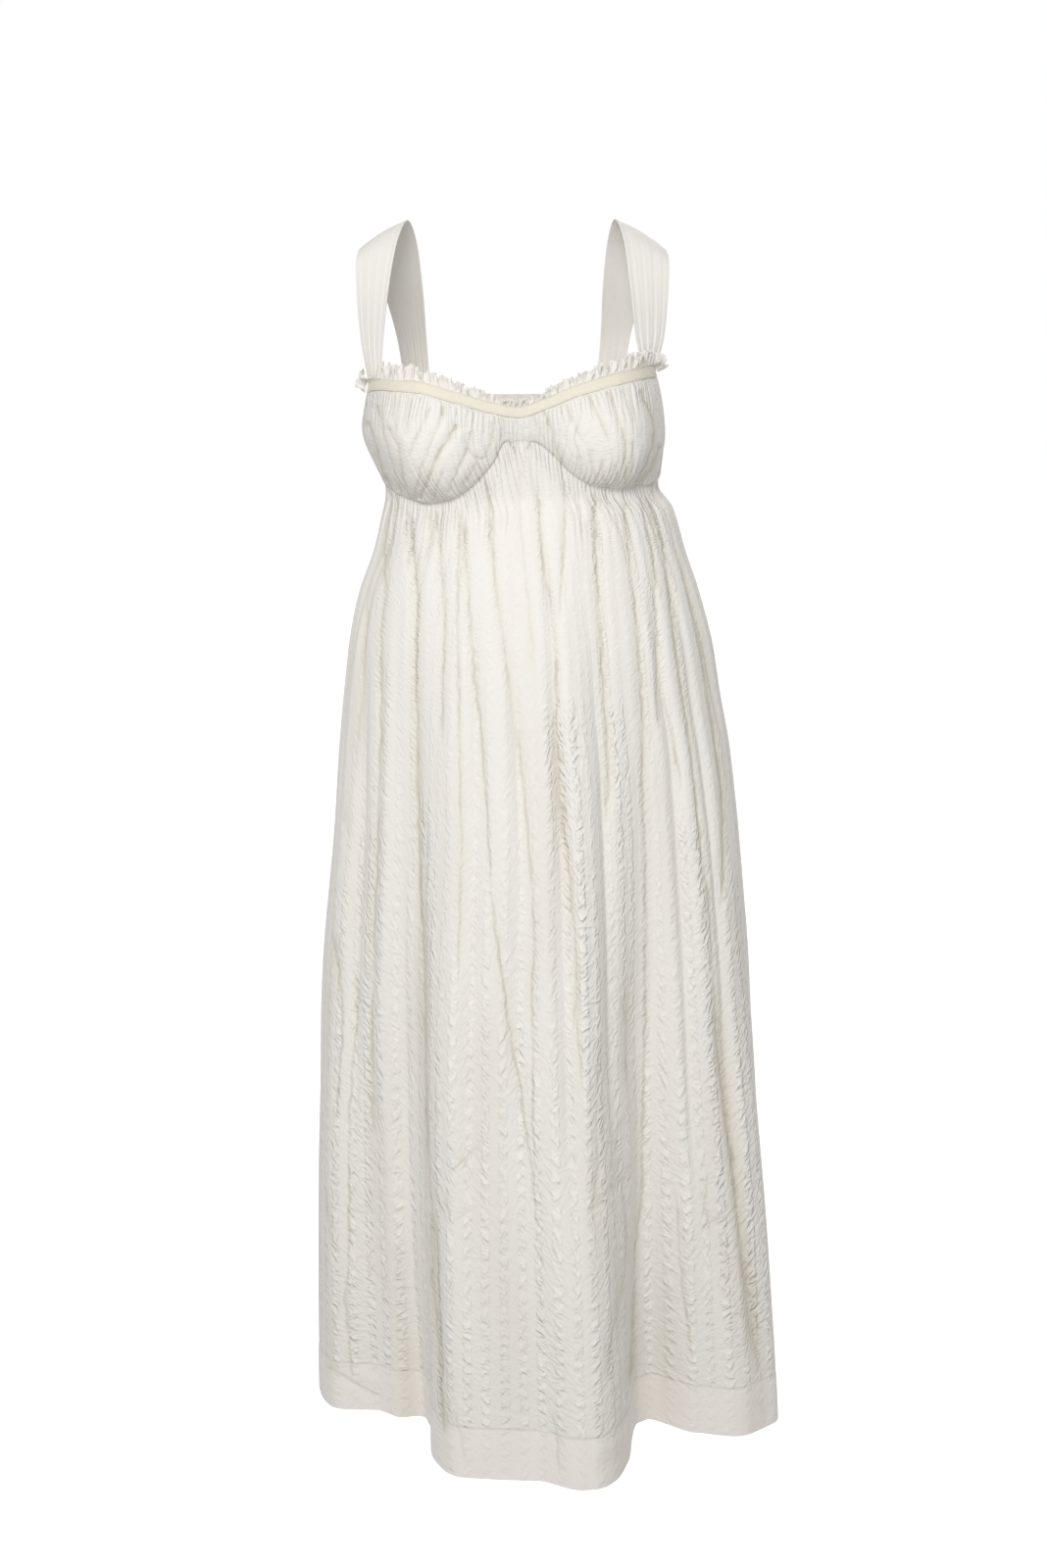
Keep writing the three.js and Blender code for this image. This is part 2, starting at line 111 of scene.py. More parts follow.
# Level rings of the body: the middle of the ring in x, half its breadth, its depth to the
# front and to the back, and how round it is (1 is an ellipse, less is squarer).
RINGS = SmoothTable(
    "z middle half front back round",
    (
        (-1193, 31, 234, 153, 155, 0.95),
        (-1062, 28.5, 231.5, 154, 151, 0.95),
        (-955, 26.5, 228, 155, 147, 0.95),
        (-850, 24.6, 222.5, 155, 143, 0.95),
        (-705, 22.8, 214, 155, 137, 0.93),
        (-593, 22.9, 203.5, 154, 131, 0.9),
        (-502, 21, 194.5, 152, 125, 0.88),
        (-443, 18.3, 186, 150, 120, 0.85),
        (-393, 17.3, 179, 147, 116, 0.82),
        (-344, 15.8, 167, 141, 110, 0.8),
        (-305, 16, 153, 134, 104, 0.75),
        (-262, 14.5, 141, 124, 96, 0.7),
        (-243, 8.5, 133.5, 118, 92, 0.7),
        (-223, 5, 139, 118, 91, 0.7),
        (-185, 0, 147.5, 118, 90, 0.7),
        (-150, -0.5, 146, 115, 86, 0.7),
        (-110, -1, 141, 108, 80, 0.7),
    ),
)

# Height of the seam under the bust: two curves that rise to a short flat peak in front.
WAIST_SEAM = SmoothTable(
    "angle z",
    (
        (-180, -236), (-120, -237), (-90, -237), (-75, -240), (-57, -248),
        (-43, -251), (-31, -247), (-20, -234.5), (-8, -209), (-2.6, -191),
        (7.2, -191), (13.7, -202), (19.8, -219), (30, -233), (44, -237),
        (59, -237), (75, -234), (90, -231), (120, -234), (180, -236),
    ),
)

# Height of the bodice's top edge: the neck in front, a curve under each arm, the back.
TOP_EDGE = SmoothTable(
    "angle z",
    (
        (-180, -159), (-146, -159), (-133, -162), (-120, -175), (-105, -185),
        (-90, -186), (-80, -173), (-74, -155), (-70, -139.5), (-62, -136),
        (-50, -134.5), (-36, -135), (-20, -144.5), (-8, -154), (2.4, -158.5),
        (11.5, -151), (25, -137), (42, -126.5), (55, -123.5), (68.5, -123),
        (72, -131), (75, -146), (81, -165), (90, -182), (105, -181),
        (120, -172), (133, -160), (146, -157), (180, -159),
    ),
)

# Height of the hem, which hangs a little higher at the sides than in front.
HEM_EDGE = SmoothTable(
    "angle z",
    (
        (-180, -1190), (-110, -1188), (-90, -1184), (-55, -1183), (-38, -1189),
        (-25, -1193), (20, -1193), (37, -1184), (52, -1190), (70, -1190),
        (90, -1182), (120, -1188), (180, -1190),
    ),
)


@dataclass(frozen=True)
class Fold:
    """A long fold of the skirt: its angle at the top and at the hem, its crest and flanks in
    degrees, its depth, and the shares of the drop where it starts, is full and ends."""

    top: float
    hem: float
    half: float
    edge: float
    depth: float
    start: float = 0.1
    full: float = 1.0
    end: float = 2.0


SKIRT_FOLDS = (
    Fold(-6, -4, 21, 15, 60, start=0.0),
    Fold(8, 11, 8, 9, 22),
    Fold(-40, -36, 6, 9, -28),
    Fold(-52, -48, 13, 16, -34),
    Fold(33, 30, 6, 9, -52, start=0.15),
    Fold(60, 60, 13, 16, 27, start=0.15),
    Fold(-17, -15, 1.5, 7, -9, 0.03, 0.3, 0.85),
    Fold(-5, -4, 1, 6, -8, 0.04, 0.25, 0.8),
    Fold(6, 7, 1.5, 6, -12, 0.02, 0.35, 0.8),
    Fold(19, 17, 1, 6, -9, 0.05, 0.35, 0.75),
    Fold(44, 42, 1.5, 7, -9, 0.05, 0.3, 0.8),
    Fold(57, 55, 1.5, 7, -7, 0.05, 0.3, 0.8),
    Fold(-62, -60, 1.5, 7, -6, 0.05, 0.3, 0.8),
    Fold(105, 106, 4, 11, -20),
    Fold(127, 128, 8, 12, 26),
    Fold(150, 148, 4, 11, -24),
    Fold(178, 176, 11, 13, 28),
    Fold(-157, -155, 4, 11, -26),
    Fold(-132, -131, 9, 12, 25),
    Fold(-107, -106, 4, 11, -19),
)


def smooth_step(low: float, high: float, value: Array) -> Array:
    """A soft step from 0 at low to 1 at high."""
    share = np.clip((value - low) / (high - low), 0.0, 1.0)
    return share * share * (3 - 2 * share)


def wrap(angle: Array) -> Array:
    """The same angle between minus and plus half a turn."""
    return angle - TURN * np.round(angle / TURN)


def bell(away: Array, width: float) -> Array:
    """A soft bump of height 1, by the distance from its middle."""
    return np.exp(-((away / width) ** 2))


def fold_profile(away: Array, width: float) -> Array:
    """A sharp crest of height 1 with a shallow dip on each side, by the distance from it."""
    crest = np.exp(-((away / width) ** FOLD_SHARPNESS))
    return crest - FOLD_SHOULDER * bell(away - FOLD_SHOULDER_AT * width, width)


def waves(arc: Array, parts: tuple[Wave, ...]) -> Array:
    """Sine waves laid over each other.

    Args:
        arc: Lengths along the waves.
        parts: The height, the length of one radian and the shift of each wave.

    Returns:
        Their sum at each place.
    """
    total = np.zeros(np.shape(arc))
    for height, length, shift in parts:
        total = total + height * np.sin(arc / length + shift)
    return total


@dataclass(frozen=True)
class BodyForm:
    """The worn form that every panel is laid on, in millimetres and degrees from the front."""

    hem_z: float = -1193.0
    fold_top: float = -240.0
    fold_growth: float = 1.2
    centre_front: float = 2.4
    fullness_depth: float = 34.0
    fullness_angle: float = 36.0
    fullness_spread: float = 22.0
    fullness_bend: float = 0.62
    fullness_turn: float = 0.82 * math.pi

    def seam(self, angle: Array) -> Array:
        """Height of the seam under the bust."""
        return WAIST_SEAM.at("z", wrap(angle))

    def hem(self, angle: Array) -> Array:
        """Height of the skirt's lower edge."""
        return HEM_EDGE.at("z", wrap(angle))

    def edge(self, angle: Array) -> Array:
        """Height of the bodice's upper edge."""
        return TOP_EDGE.at("z", wrap(angle))

    def ring(self, angle: Array, z: Array) -> Array:
        """Points of the plain body at the angles and heights.

        Args:
            angle: Angles round the body.
            z: Heights.

        Returns:
            One point for each place.
        """
        turn = np.radians(angle)
        forward = np.cos(turn)
        depth = np.where(forward > 0, RINGS.at("front", z), RINGS.at("back", z))
        x = RINGS.at("middle", z) + RINGS.at("half", z) * np.sin(turn)
        y = -np.sign(forward) * depth * np.abs(forward) ** RINGS.at("round", z)
        return np.stack([x, y, z + 0 * x], axis=-1)

    def outward(self, line: Callable[[Array, Array], Array], angle: Array, z: Array) -> Array:
        """Level directions that point out of the body.

        Args:
            line: The form that the directions stand on.
            angle: Angles round the body.
            z: Heights.

        Returns:
            One unit direction for each place.
        """
        step = 0.3
        ahead = line(angle + step, z) - line(angle - step, z)
        out = np.stack([ahead[..., 1], -ahead[..., 0], 0 * ahead[..., 0]], axis=-1)
        return out / np.linalg.norm(out, axis=-1, keepdims=True)

    def fold_depth(self, angle: Array, z: Array) -> Array:
        """How far the long folds bring the skirt out at each place.

        Args:
            angle: Angles round the body.
            z: Heights.

        Returns:
            The reach of the folds at each place.
        """
        drop = np.clip((self.fold_top - z) / (self.fold_top - self.hem_z), 0.0, 1.0)
        total = np.zeros(np.broadcast(angle, z).shape)
        for fold in SKIRT_FOLDS:
            middle = fold.top + (fold.hem - fold.top) * drop
            away = np.abs(wrap(angle - middle))
            across = 1 - smooth_step(fold.half - fold.edge / 2, fold.half + fold.edge / 2, away)
            grown = np.clip((drop - fold.start) / (fold.full - fold.start), 0.0, 1.0)
            fading = 1 - smooth_step((fold.full + fold.end) / 2, fold.end, drop)
            total += fold.depth * across * grown**self.fold_growth * fading
        return total

    def folded(self, angle: Array, z: Array) -> Array:
        """Points of the body with the skirt's long folds."""
        out = self.outward(self.ring, angle, z)
        return self.ring(angle, z) + out * self.fold_depth(angle, z)[..., None]

    def cup_fullness(self, angle: Array, z: Array) -> Array:
        """How far the cups stand out between the seam and the neck.

        Args:
            angle: Angles round the body.
            z: Heights.

        Returns:
            The reach of the cups at each place.
        """
        share = np.clip((z - self.seam(angle)) / (self.edge(angle) - self.seam(angle)), 0.0, 1.0)
        away = np.abs(wrap(angle - self.centre_front)) - self.fullness_angle
        rise = np.sin(self.fullness_turn * share**self.fullness_bend)
        return self.fullness_depth * bell(away, self.fullness_spread) * rise

    def cloth(self, angle: Array, z: Array, lift: Array | float = 0.0) -> Array:
        """Points of the cloth.

        Args:
            angle: Angles round the body.
            z: Heights.
            lift: How far out of the body's form the points lie.

        Returns:
            One point for each place.
        """
        out = self.outward(self.folded, angle, z)
        reach = self.cup_fullness(angle, z) + lift
        return self.folded(angle, z) + out * reach[..., None]

    def pace(self, angle: Array, z: Array) -> Array:
        """Millimetres of the body's girth in one degree."""
        step = 0.5
        return np.linalg.norm(self.ring(angle + step, z) - self.ring(angle - step, z), axis=-1)

    def even_angles(self, first: float, last: float, count: int, z: float) -> Array:
        """Angles that part the cloth evenly along its length at one level.

        Args:
            first: The first angle.
            last: The last angle.
            count: How many steps there are between them.
            z: The level.

        Returns:
            The angles, both ends among them.
        """
        samples = np.linspace(first, last, 401)
        line = self.folded(samples, np.full_like(samples, z))
        lengths = np.concatenate([[0.0], np.cumsum(np.linalg.norm(np.diff(line, axis=0), axis=1))])
        return np.interp(np.linspace(0, lengths[-1], count + 1), lengths, samples)

    def panel_angles(self, first: float, last: float, across: Array) -> Array:
        """Angles of the places across a panel."""
        even = self.even_angles(first, last, PANEL_STEPS, COLUMN_LEVEL)
        return np.interp(across, np.linspace(0, 1, PANEL_STEPS + 1), even)

    def from_sides(self, first: float, last: float, angle: Array, z: Array) -> Array:
        """How far each place is from the nearer side of a panel."""
        return np.minimum(angle - first, last - angle) * self.pace(angle, z)


FORM = BodyForm()


@dataclass(frozen=True)
class PhotoView:
    """The camera that the front is seen by, for a picture 1068 pixels wide and 1600 high."""

    width: int = 1068
    height: int = 1600
    place: tuple[float, float, float] = (10.0, -2800.0, 12.0)
    pitch: float = 11.2
    focal: float = 2900.0
    sensor: float = 36.0

    def project(self, points: Array) -> tuple[Array, Array]:
        """Where points of the dress lie in the picture.

        Args:
            points: Points in millimetres.

        Returns:
            Their places across and down, in pixels.
        """
        away = points - np.array(self.place)
        tilt = math.radians(self.pitch)
        depth = away[..., 1] * math.cos(tilt) - away[..., 2] * math.sin(tilt)
        up = away[..., 1] * math.sin(tilt) + away[..., 2] * math.cos(tilt)
        across = self.width / 2 + self.focal * away[..., 0] / depth
        down = self.height / 2 - self.focal * up / depth
        return across, down


VIEW = PhotoView()


@dataclass(frozen=True)
class Crease:
    """A soft trough or ridge along a line, in the cloth's own millimetres across.

    The line's points are pixels of the photograph on the front, and millimetres seen from
    behind on the back. A height below zero is a trough.
    """

    line: tuple[Point, ...]
    height: float
    width: float = 4.5
    start: float = 12.0
    finish: float = 40.0

    def smooth_line(self) -> Array:
        """The line with its corners cut three times.

        Returns:
            The points of the smooth line.
        """
        line = np.array(self.line, float)
        for _ in range(3):
            near = line[:-1] * 0.75 + line[1:] * 0.25
            far = line[:-1] * 0.25 + line[1:] * 0.75
            inner = np.stack([near, far], axis=1).reshape(-1, 2)
            line = np.concatenate([line[:1], inner[1:-1], line[-1:]])
        return line

    def near(self, across: Array, down: Array, room: float) -> Array:
        """Which places lie in the box round the line, with some room.

        Args:
            across: Places across.
            down: Places down.
            room: How far the box reaches past the line.

        Returns:
            True for each place in the box.
        """
        line = np.array(self.line)
        low, high = line.min(axis=0) - room, line.max(axis=0) + room
        return (across > low[0]) & (across < high[0]) & (down > low[1]) & (down < high[1])

    def reach(self, across: Array, down: Array) -> tuple[Array, Array, Array]:
        """How far each place is from the line, and how strong the crease is there.

        Args:
            across: Places across.
            down: Places down.

        Returns:
            The distances, a strength from 0 to 1 that dies away at the line's ends, and the
            side of the line as -1 or 1.
        """
        line = self.smooth_line()
        steps = np.linalg.norm(np.diff(line, axis=0), axis=1)
        passed = np.concatenate([[0.0], np.cumsum(steps)])
        nearest = np.full(across.shape, 1e9)
        along = np.zeros(across.shape)
        side = np.ones(across.shape)
        for index, (here, onward) in enumerate(zip(line[:-1], line[1:])):
            run = onward - here
            share = ((across - here[0]) * run[0] + (down - here[1]) * run[1]) / (run @ run)
            share = np.clip(share, 0.0, 1.0)
            away = np.hypot(across - here[0] - share * run[0], down - here[1] - share * run[1])
            closer = away < nearest
            nearest = np.where(closer, away, nearest)
            along = np.where(closer, passed[index] + share * steps[index], along)
            turn = run[0] * (down - here[1]) - run[1] * (across - here[0])
            side = np.where(closer, np.where(turn < 0, -1.0, 1.0), side)
        rising = smooth_step(-0.01, max(self.start, 0.1), along)
        falling = smooth_step(-0.01, max(self.finish, 0.1), passed[-1] - along)
        return nearest, rising * falling, side

    def lift(self, across: Array, down: Array) -> Array:
        """How far the crease brings each place out.

        Args:
            across: Places across.
            down: Places down.

        Returns:
            The lift at each place.
        """
        total = np.zeros(across.shape)
        near = self.near(across, down, 5 * self.width)
        if not near.any():
            return total
        away, strength, _ = self.reach(across[near], down[near])
        total[near] = self.height * strength * fold_profile(away, self.width)
        return total


def lift_of(creases: tuple[Crease, ...], across: Array, down: Array) -> Array:
    """How far all the creases together bring each place out.

    Args:
        creases: The creases.
        across: Places across.
        down: Places down.

    Returns:
        The lift at each place.
    """
    total = np.zeros(across.shape)
    for crease in creases:
        total += crease.lift(across, down)
    return total


@dataclass(frozen=True)
class FineLines:
    """The thin sharp line at the bottom of each trough, as values that the finish reads.

    One value is how far a place is from a line, below zero on one side of it, and another is
    how strong the line is there. Lines that lie close together go into different channels, so
    that each stays sharp. The finish dents the cloth along each line and darkens its colour
    there as painted shade.
    """

    channels: int = 3
    limit: float = 9.0
    apart: float = 18.0
    full_depth: float = 5.0

    def share_out(self, creases: tuple[Crease, ...]) -> list[int]:
        """The channel of each crease.

        Args:
            creases: The creases, in order.

        Returns:
            The first channel with room for each, or the one with the most room.
        """
        lines = [crease.smooth_line() for crease in creases]
        chosen: list[int] = []
        for line in lines:
            room = [math.inf] * self.channels
            for other, channel in zip(lines, chosen):
                gaps = np.linalg.norm(line[:, None] - other[None], axis=-1)
                room[channel] = min(room[channel], float(gaps.min()))
            free = [channel for channel in range(self.channels) if room[channel] > self.apart]
            chosen.append(free[0] if free else int(np.argmax(room)))
        return chosen

    def values(self, creases: tuple[Crease, ...], across: Array, down: Array) -> dict[str, Array]:
        """Signed distances from the lines, and the lines' strengths.

        Args:
            creases: The creases, of which only the troughs have a line.
            across: Places across.
            down: Places down.

        Returns:
            The two sets of values by name, with one column for each channel.
        """
        troughs = tuple(crease for crease in creases if crease.height < 0)
        away_from = np.full((across.size, self.channels), self.limit)
        strong = np.zeros((across.size, self.channels))
        for crease, channel in zip(troughs, self.share_out(troughs)):
            near = np.flatnonzero(crease.near(across, down, self.limit))
            away, strength, side = crease.reach(across[near], down[near])
            closer = away < np.abs(away_from[near, channel])
            near, away, strength, side = near[closer], away[closer], strength[closer], side[closer]
            away_from[near, channel] = side * away
            depth = min(1.0, -crease.height / self.full_depth)
            fading = 1 - smooth_step(0.5 * self.limit, 0.95 * self.limit, away)
            strong[near, channel] = strength * depth * fading
        return {"lines": away_from, "line_strengths": strong}


@dataclass(frozen=True)
class Band:
    """A strip of cloth where the fine crinkles are strong, along a line of points."""

    line: tuple[Point, ...]
    width: float
    strength: float = 1.0

    def mask(self, across: Array, down: Array) -> Array:
        """How crinkled each place is, from 0 to the band's strength."""
        away, strength, _ = Crease(self.line, 1.0, start=30.0, finish=30.0).reach(across, down)
        return self.strength * strength * bell(away, self.width)


@dataclass(frozen=True)
class Gather:
    """A gather that runs down from a seam, on a side that the photograph doesn't show.

    Angles are in degrees and lengths in millimetres. It wanders a little to either side.
    """

    top: float
    foot: float
    height: float
    length: float
    width: float = 5.5
    wander: float = 5.0

    def lift(self, form: BodyForm, angle: Array, z: Array, drop: Array) -> Array:
        """How far the gather brings each place out.

        Args:
            form: The body's form.
            angle: Angles round the body.
            z: Heights.
            drop: How far each place is below the seam.

        Returns:
            The lift at each place.
        """
        share = np.clip(drop / self.length, 0.0, 1.0)
        middle = self.top + (self.foot - self.top) * share
        swing = self.wander * np.sin(drop / 61.0 + self.top) * smooth_step(0.0, 80.0, drop)
        away = np.abs(wrap(angle - middle) * form.pace(angle, z) - swing)
        dying = 1 - smooth_step(0.45, 1.0, share)
        return self.height * dying * fold_profile(away, self.width)


# Gathers and creases of the skirt's front, traced from the photograph.
SKIRT_FRONT_CREASES = (
    Crease(
        ((395, 497), (391, 540), (389, 570), (393, 600), (387, 640), (388, 690), (388, 750),
         (385, 810), (385, 860), (381, 930), (380, 990), (378, 1060), (379, 1170)), -4.2),
    Crease(((404, 508), (401, 540), (396, 570), (393, 600)), -3.0, 4.0),
    Crease(((418, 514), (411, 540), (406, 572)), -1.6, 3.5),
    Crease(((422, 519), (428, 534)), -1.6, 3.0, finish=8.0),
    Crease(
        ((418, 522), (418, 540), (421, 570), (425, 600), (424, 640), (423, 690), (424, 750),
         (425, 810), (426, 860), (426, 900), (429, 950), (430, 1010), (432, 1080),
         (434, 1150), (435, 1200), (439, 1240), (438, 1290), (442, 1350), (445, 1385),
         (449, 1410)), -5.0, 4.6, finish=20.0),
    Crease(((438, 517), (439, 545), (433, 570), (427, 602)), -2.6, 4.0),
    Crease(
        ((444, 516), (446, 540), (449, 575), (453, 620), (453, 660), (449, 710), (451, 770)),
        -3.2, 4.5),
    Crease(
        ((467, 510), (469, 540), (466, 590), (466, 660), (468, 740), (469, 810), (471, 870),
         (469, 930), (467, 1010)), -2.8, 4.5),
    Crease(
        ((471, 530), (475, 570), (479, 620), (484, 690), (490, 750), (495, 810), (499, 880),
         (504, 940), (511, 990), (519, 1040), (530, 1105), (539, 1175), (547, 1235),
         (552, 1310)), -3.6, 5.0, finish=120.0),
    Crease(((482, 505), (488, 521), (492, 533)), -1.6, 3.0, finish=10.0),
    Crease(
        ((496, 488), (499, 515), (501, 555), (506, 605), (514, 660), (521, 705), (529, 765),
         (534, 820), (539, 870), (543, 930), (545, 965), (541, 1010), (544, 1060),
         (543, 1140), (547, 1205)), -3.2, 4.8, finish=90.0),
    Crease(((529, 478), (531, 540), (537, 590), (541, 640), (546, 695)), -1.2, 7.5),
    Crease(((517, 449), (522, 455), (527, 463)), -3.6, 2.0, 0.5, 5.0),
    Crease(((543, 448), (540, 454), (538, 462)), -3.2, 2.0, 0.5, 5.0),
    Crease(
        ((547, 468), (549, 510), (551, 545), (557, 590), (564, 635), (568, 680), (566, 735),
         (569, 795), (574, 850), (580, 900), (586, 955), (587, 1010), (584, 1060)),
        -4.4, 4.8, 60.0),
    Crease(((576, 486), (577, 520), (575, 570), (572, 615), (570, 650)), -2.6, 4.2),
    Crease(((585, 500), (592, 530), (596, 570), (596, 600)), -1.8, 4.0),
    Crease(
        ((607, 501), (608, 545), (609, 585), (613, 630), (614, 675), (619, 740), (622, 790),
         (617, 845)), -5.2, 5.2),
    Crease(((616, 503), (621, 522), (632, 541), (641, 560)), -2.6, 3.8),
    Crease(
        ((637, 505), (640, 545), (646, 590), (650, 630), (654, 690), (658, 745), (655, 800),
         (659, 860), (659, 930), (660, 1000), (658, 1080), (656, 1160), (655, 1220),
         (650, 1270), (647, 1330), (647, 1380), (643, 1420)), -4.2, 5.0, finish=20.0),
    Crease(
        ((654, 503), (661, 535), (668, 570), (669, 620), (671, 670), (672, 720), (671, 755)),
        -4.2, 4.4),
    Crease(((672, 700), (679, 722), (687, 752), (692, 785), (697, 815)), -4.0, 4.5),
    Crease(
        ((660, 502), (669, 526), (679, 562), (684, 605), (691, 660), (698, 712), (706, 765),
         (711, 820), (717, 875), (723, 915), (727, 965), (730, 1020), (736, 1070),
         (745, 1140), (752, 1200), (759, 1260), (767, 1320), (775, 1380), (780, 1412)),
        -5.4, 5.0, finish=20.0),
    Crease(
        ((668, 492), (681, 512), (691, 545), (700, 590), (709, 630), (721, 690), (729, 745),
         (738, 800), (740, 850), (738, 900), (732, 935)), -5.0, 4.6),
    Crease(((700, 560), (716, 625), (732, 700), (741, 760), (749, 820)), -3.0, 5.0),
    Crease(((384, 520), (378, 575), (371, 640), (366, 720), (361, 800)), -2.2, 6.0),
    Crease(((338, 950), (345, 995), (350, 1040), (346, 1095), (343, 1160)), -3.6, 5.0),
    Crease(
        ((361, 990), (366, 1015), (360, 1080), (355, 1170), (356, 1230), (357, 1290),
         (351, 1320), (356, 1360), (359, 1412)), -3.2, 4.8, finish=15.0),
    Crease(((343, 806), (352, 830), (357, 862)), -1.6, 4.0, finish=15.0),
    Crease(((593, 985), (587, 1025), (593, 1090), (592, 1120)), -2.6, 5.0),
    Crease(((612, 1060), (610, 1120), (612, 1190), (605, 1235), (606, 1268)), -2.4, 5.0),
    Crease(((639, 1005), (643, 1050), (641, 1085), (640, 1118)), -3.4, 5.0),
    Crease(
        ((634, 1140), (628, 1170), (634, 1205), (641, 1255), (637, 1310), (630, 1350),
         (621, 1390), (620, 1415)), -2.6, 5.5, finish=20.0),
    Crease(((691, 1225), (692, 1275), (697, 1325), (704, 1370), (708, 1412)), -2.6, 5.5),
    Crease(((724, 1195), (717, 1230), (727, 1262)), -1.8, 4.5, finish=15.0),
    Crease(((456, 1197), (472, 1186), (494, 1163)), -2.2, 2.6, 8.0, 8.0),
    Crease(((583, 892), (596, 887), (608, 879)), -1.8, 2.6, 6.0, 6.0),
    Crease(((351, 1228), (362, 1236), (381, 1239)), -1.8, 3.0, 6.0, 10.0),
    Crease(((349, 1250), (384, 1258), (410, 1268), (430, 1261)), 1.8, 4.5, 10.0, 10.0),
    Crease(((646, 1194), (627, 1208), (614, 1222), (605, 1236)), -2.2, 4.0, 8.0, 12.0),
    Crease(((555, 1206), (566, 1227), (582, 1236)), -1.6, 3.5, 8.0, 8.0),
    Crease(((711, 1254), (729, 1246), (748, 1240)), -2.2, 3.6, 8.0, 8.0),
    Crease(((692, 1252), (699, 1270), (707, 1288)), -1.6, 3.5, 8.0, 8.0),
    Crease(((464, 1246), (477, 1238), (490, 1229)), -1.2, 3.5, 6.0, 8.0),
    Crease(((504, 1274), (520, 1256)), -1.0, 3.5, 6.0, 6.0),
    Crease(((385, 1189), (392, 1199), (400, 1207)), -1.4, 3.2, 6.0, 6.0),
    Crease(((328, 1394), (347, 1400), (363, 1411), (374, 1418), (391, 1425)), -2.6, 4.0, 8.0, 8.0),
    Crease(((746, 1350), (754, 1342), (763, 1335)), -1.6, 3.6, 6.0, 6.0),
    Crease(((330, 1208), (333, 1237), (338, 1264), (338, 1290)), -2.4, 4.0, 10.0, 15.0),
    Crease(((444, 1216), (450, 1232), (457, 1252)), -2.2, 3.6, 6.0, 12.0),
    Crease(((452, 1225), (460, 1243)), -1.8, 3.2, 5.0, 8.0),
    Crease(((463, 1440), (470, 1462), (474, 1492)), -2.0, 4.0, 8.0, 8.0),
    Crease(((441, 1235), (445, 1300), (448, 1360), (449, 1420), (453, 1466)), -4.4, 7.0, 30.0, 10.0),
    Crease(((730, 1020), (741, 1110), (749, 1180), (757, 1250), (764, 1320), (772, 1390)),
           -4.0, 8.0, 40.0, 20.0),
    Crease(((563, 1440), (569, 1470), (571, 1505)), -1.8, 4.5, 8.0, 8.0),
    Crease(((606, 1500), (622, 1487), (638, 1482)), -2.0, 4.0, 8.0, 8.0),
    Crease(((770, 1425), (778, 1436), (785, 1446)), -2.0, 4.0, 6.0, 6.0),
)

# Strips of the front where the striped cloth is strongly crinkled.
SKIRT_FRONT_BANDS = (
    Band(((384, 830), (379, 960), (374, 1100), (368, 1260), (362, 1410)), 22, 0.9),
    Band(((344, 880), (340, 1000), (338, 1200), (345, 1410)), 18, 0.8),
    Band(((392, 660), (394, 760), (390, 860)), 9, 0.6),
    Band(((430, 800), (438, 960), (442, 1130), (447, 1250), (449, 1400), (452, 1490)), 12, 1.0),
    Band(((520, 1020), (535, 1120), (550, 1240), (560, 1400), (562, 1500)), 22, 0.8),
    Band(((574, 700), (580, 860), (596, 960), (604, 1060), (622, 1180), (628, 1300), (626, 1500)),
         24, 1.0),
    Band(((626, 700), (634, 820), (640, 960), (640, 1060)), 16, 0.8),
    Band(((700, 820), (712, 900), (718, 1000), (728, 1120), (740, 1260), (752, 1400)), 18, 1.1),
    Band(((752, 870), (758, 1020), (766, 1200), (776, 1380)), 16, 1.3),
    Band(((655, 560), (664, 640), (668, 720)), 8, 0.5),
)

# Gathers of the skirt beyond what the photograph shows: round both sides and the back.
SKIRT_FRONT_GATHERS = (
    Gather(-83, -82, -3.0, 520), Gather(-74, -76, -2.6, 380), Gather(-66, -64, -2.4, 300),
    Gather(72, 73, -2.6, 360), Gather(80, 79, -3.2, 600), Gather(86, 87, -2.4, 420),
)
SKIRT_BACK_GATHERS = (
    Gather(95, 96, -3.0, 520), Gather(101, 103, -2.6, 340), Gather(108, 107, -3.8, 700),
    Gather(114, 117, -2.4, 300), Gather(121, 120, -3.4, 620), Gather(128, 127, -2.6, 380),
    Gather(134, 137, -4.0, 760), Gather(141, 141, -2.4, 280), Gather(147, 145, -3.4, 560),
    Gather(154, 156, -2.8, 420), Gather(161, 160, -4.2, 800), Gather(168, 169, -2.6, 360),
    Gather(174, 172, -3.4, 600), Gather(181, 183, -2.6, 320), Gather(188, 187, -4.0, 740),
    Gather(194, 196, -2.4, 300), Gather(201, 200, -3.6, 640), Gather(208, 210, -2.6, 380),
    Gather(215, 213, -4.0, 780), Gather(222, 223, -2.4, 320), Gather(229, 231, -3.4, 560),
    Gather(236, 234, -2.8, 420), Gather(243, 244, -3.8, 700), Gather(250, 252, -2.4, 300),
    Gather(257, 256, -3.2, 540), Gather(264, 265, -2.6, 380),
)

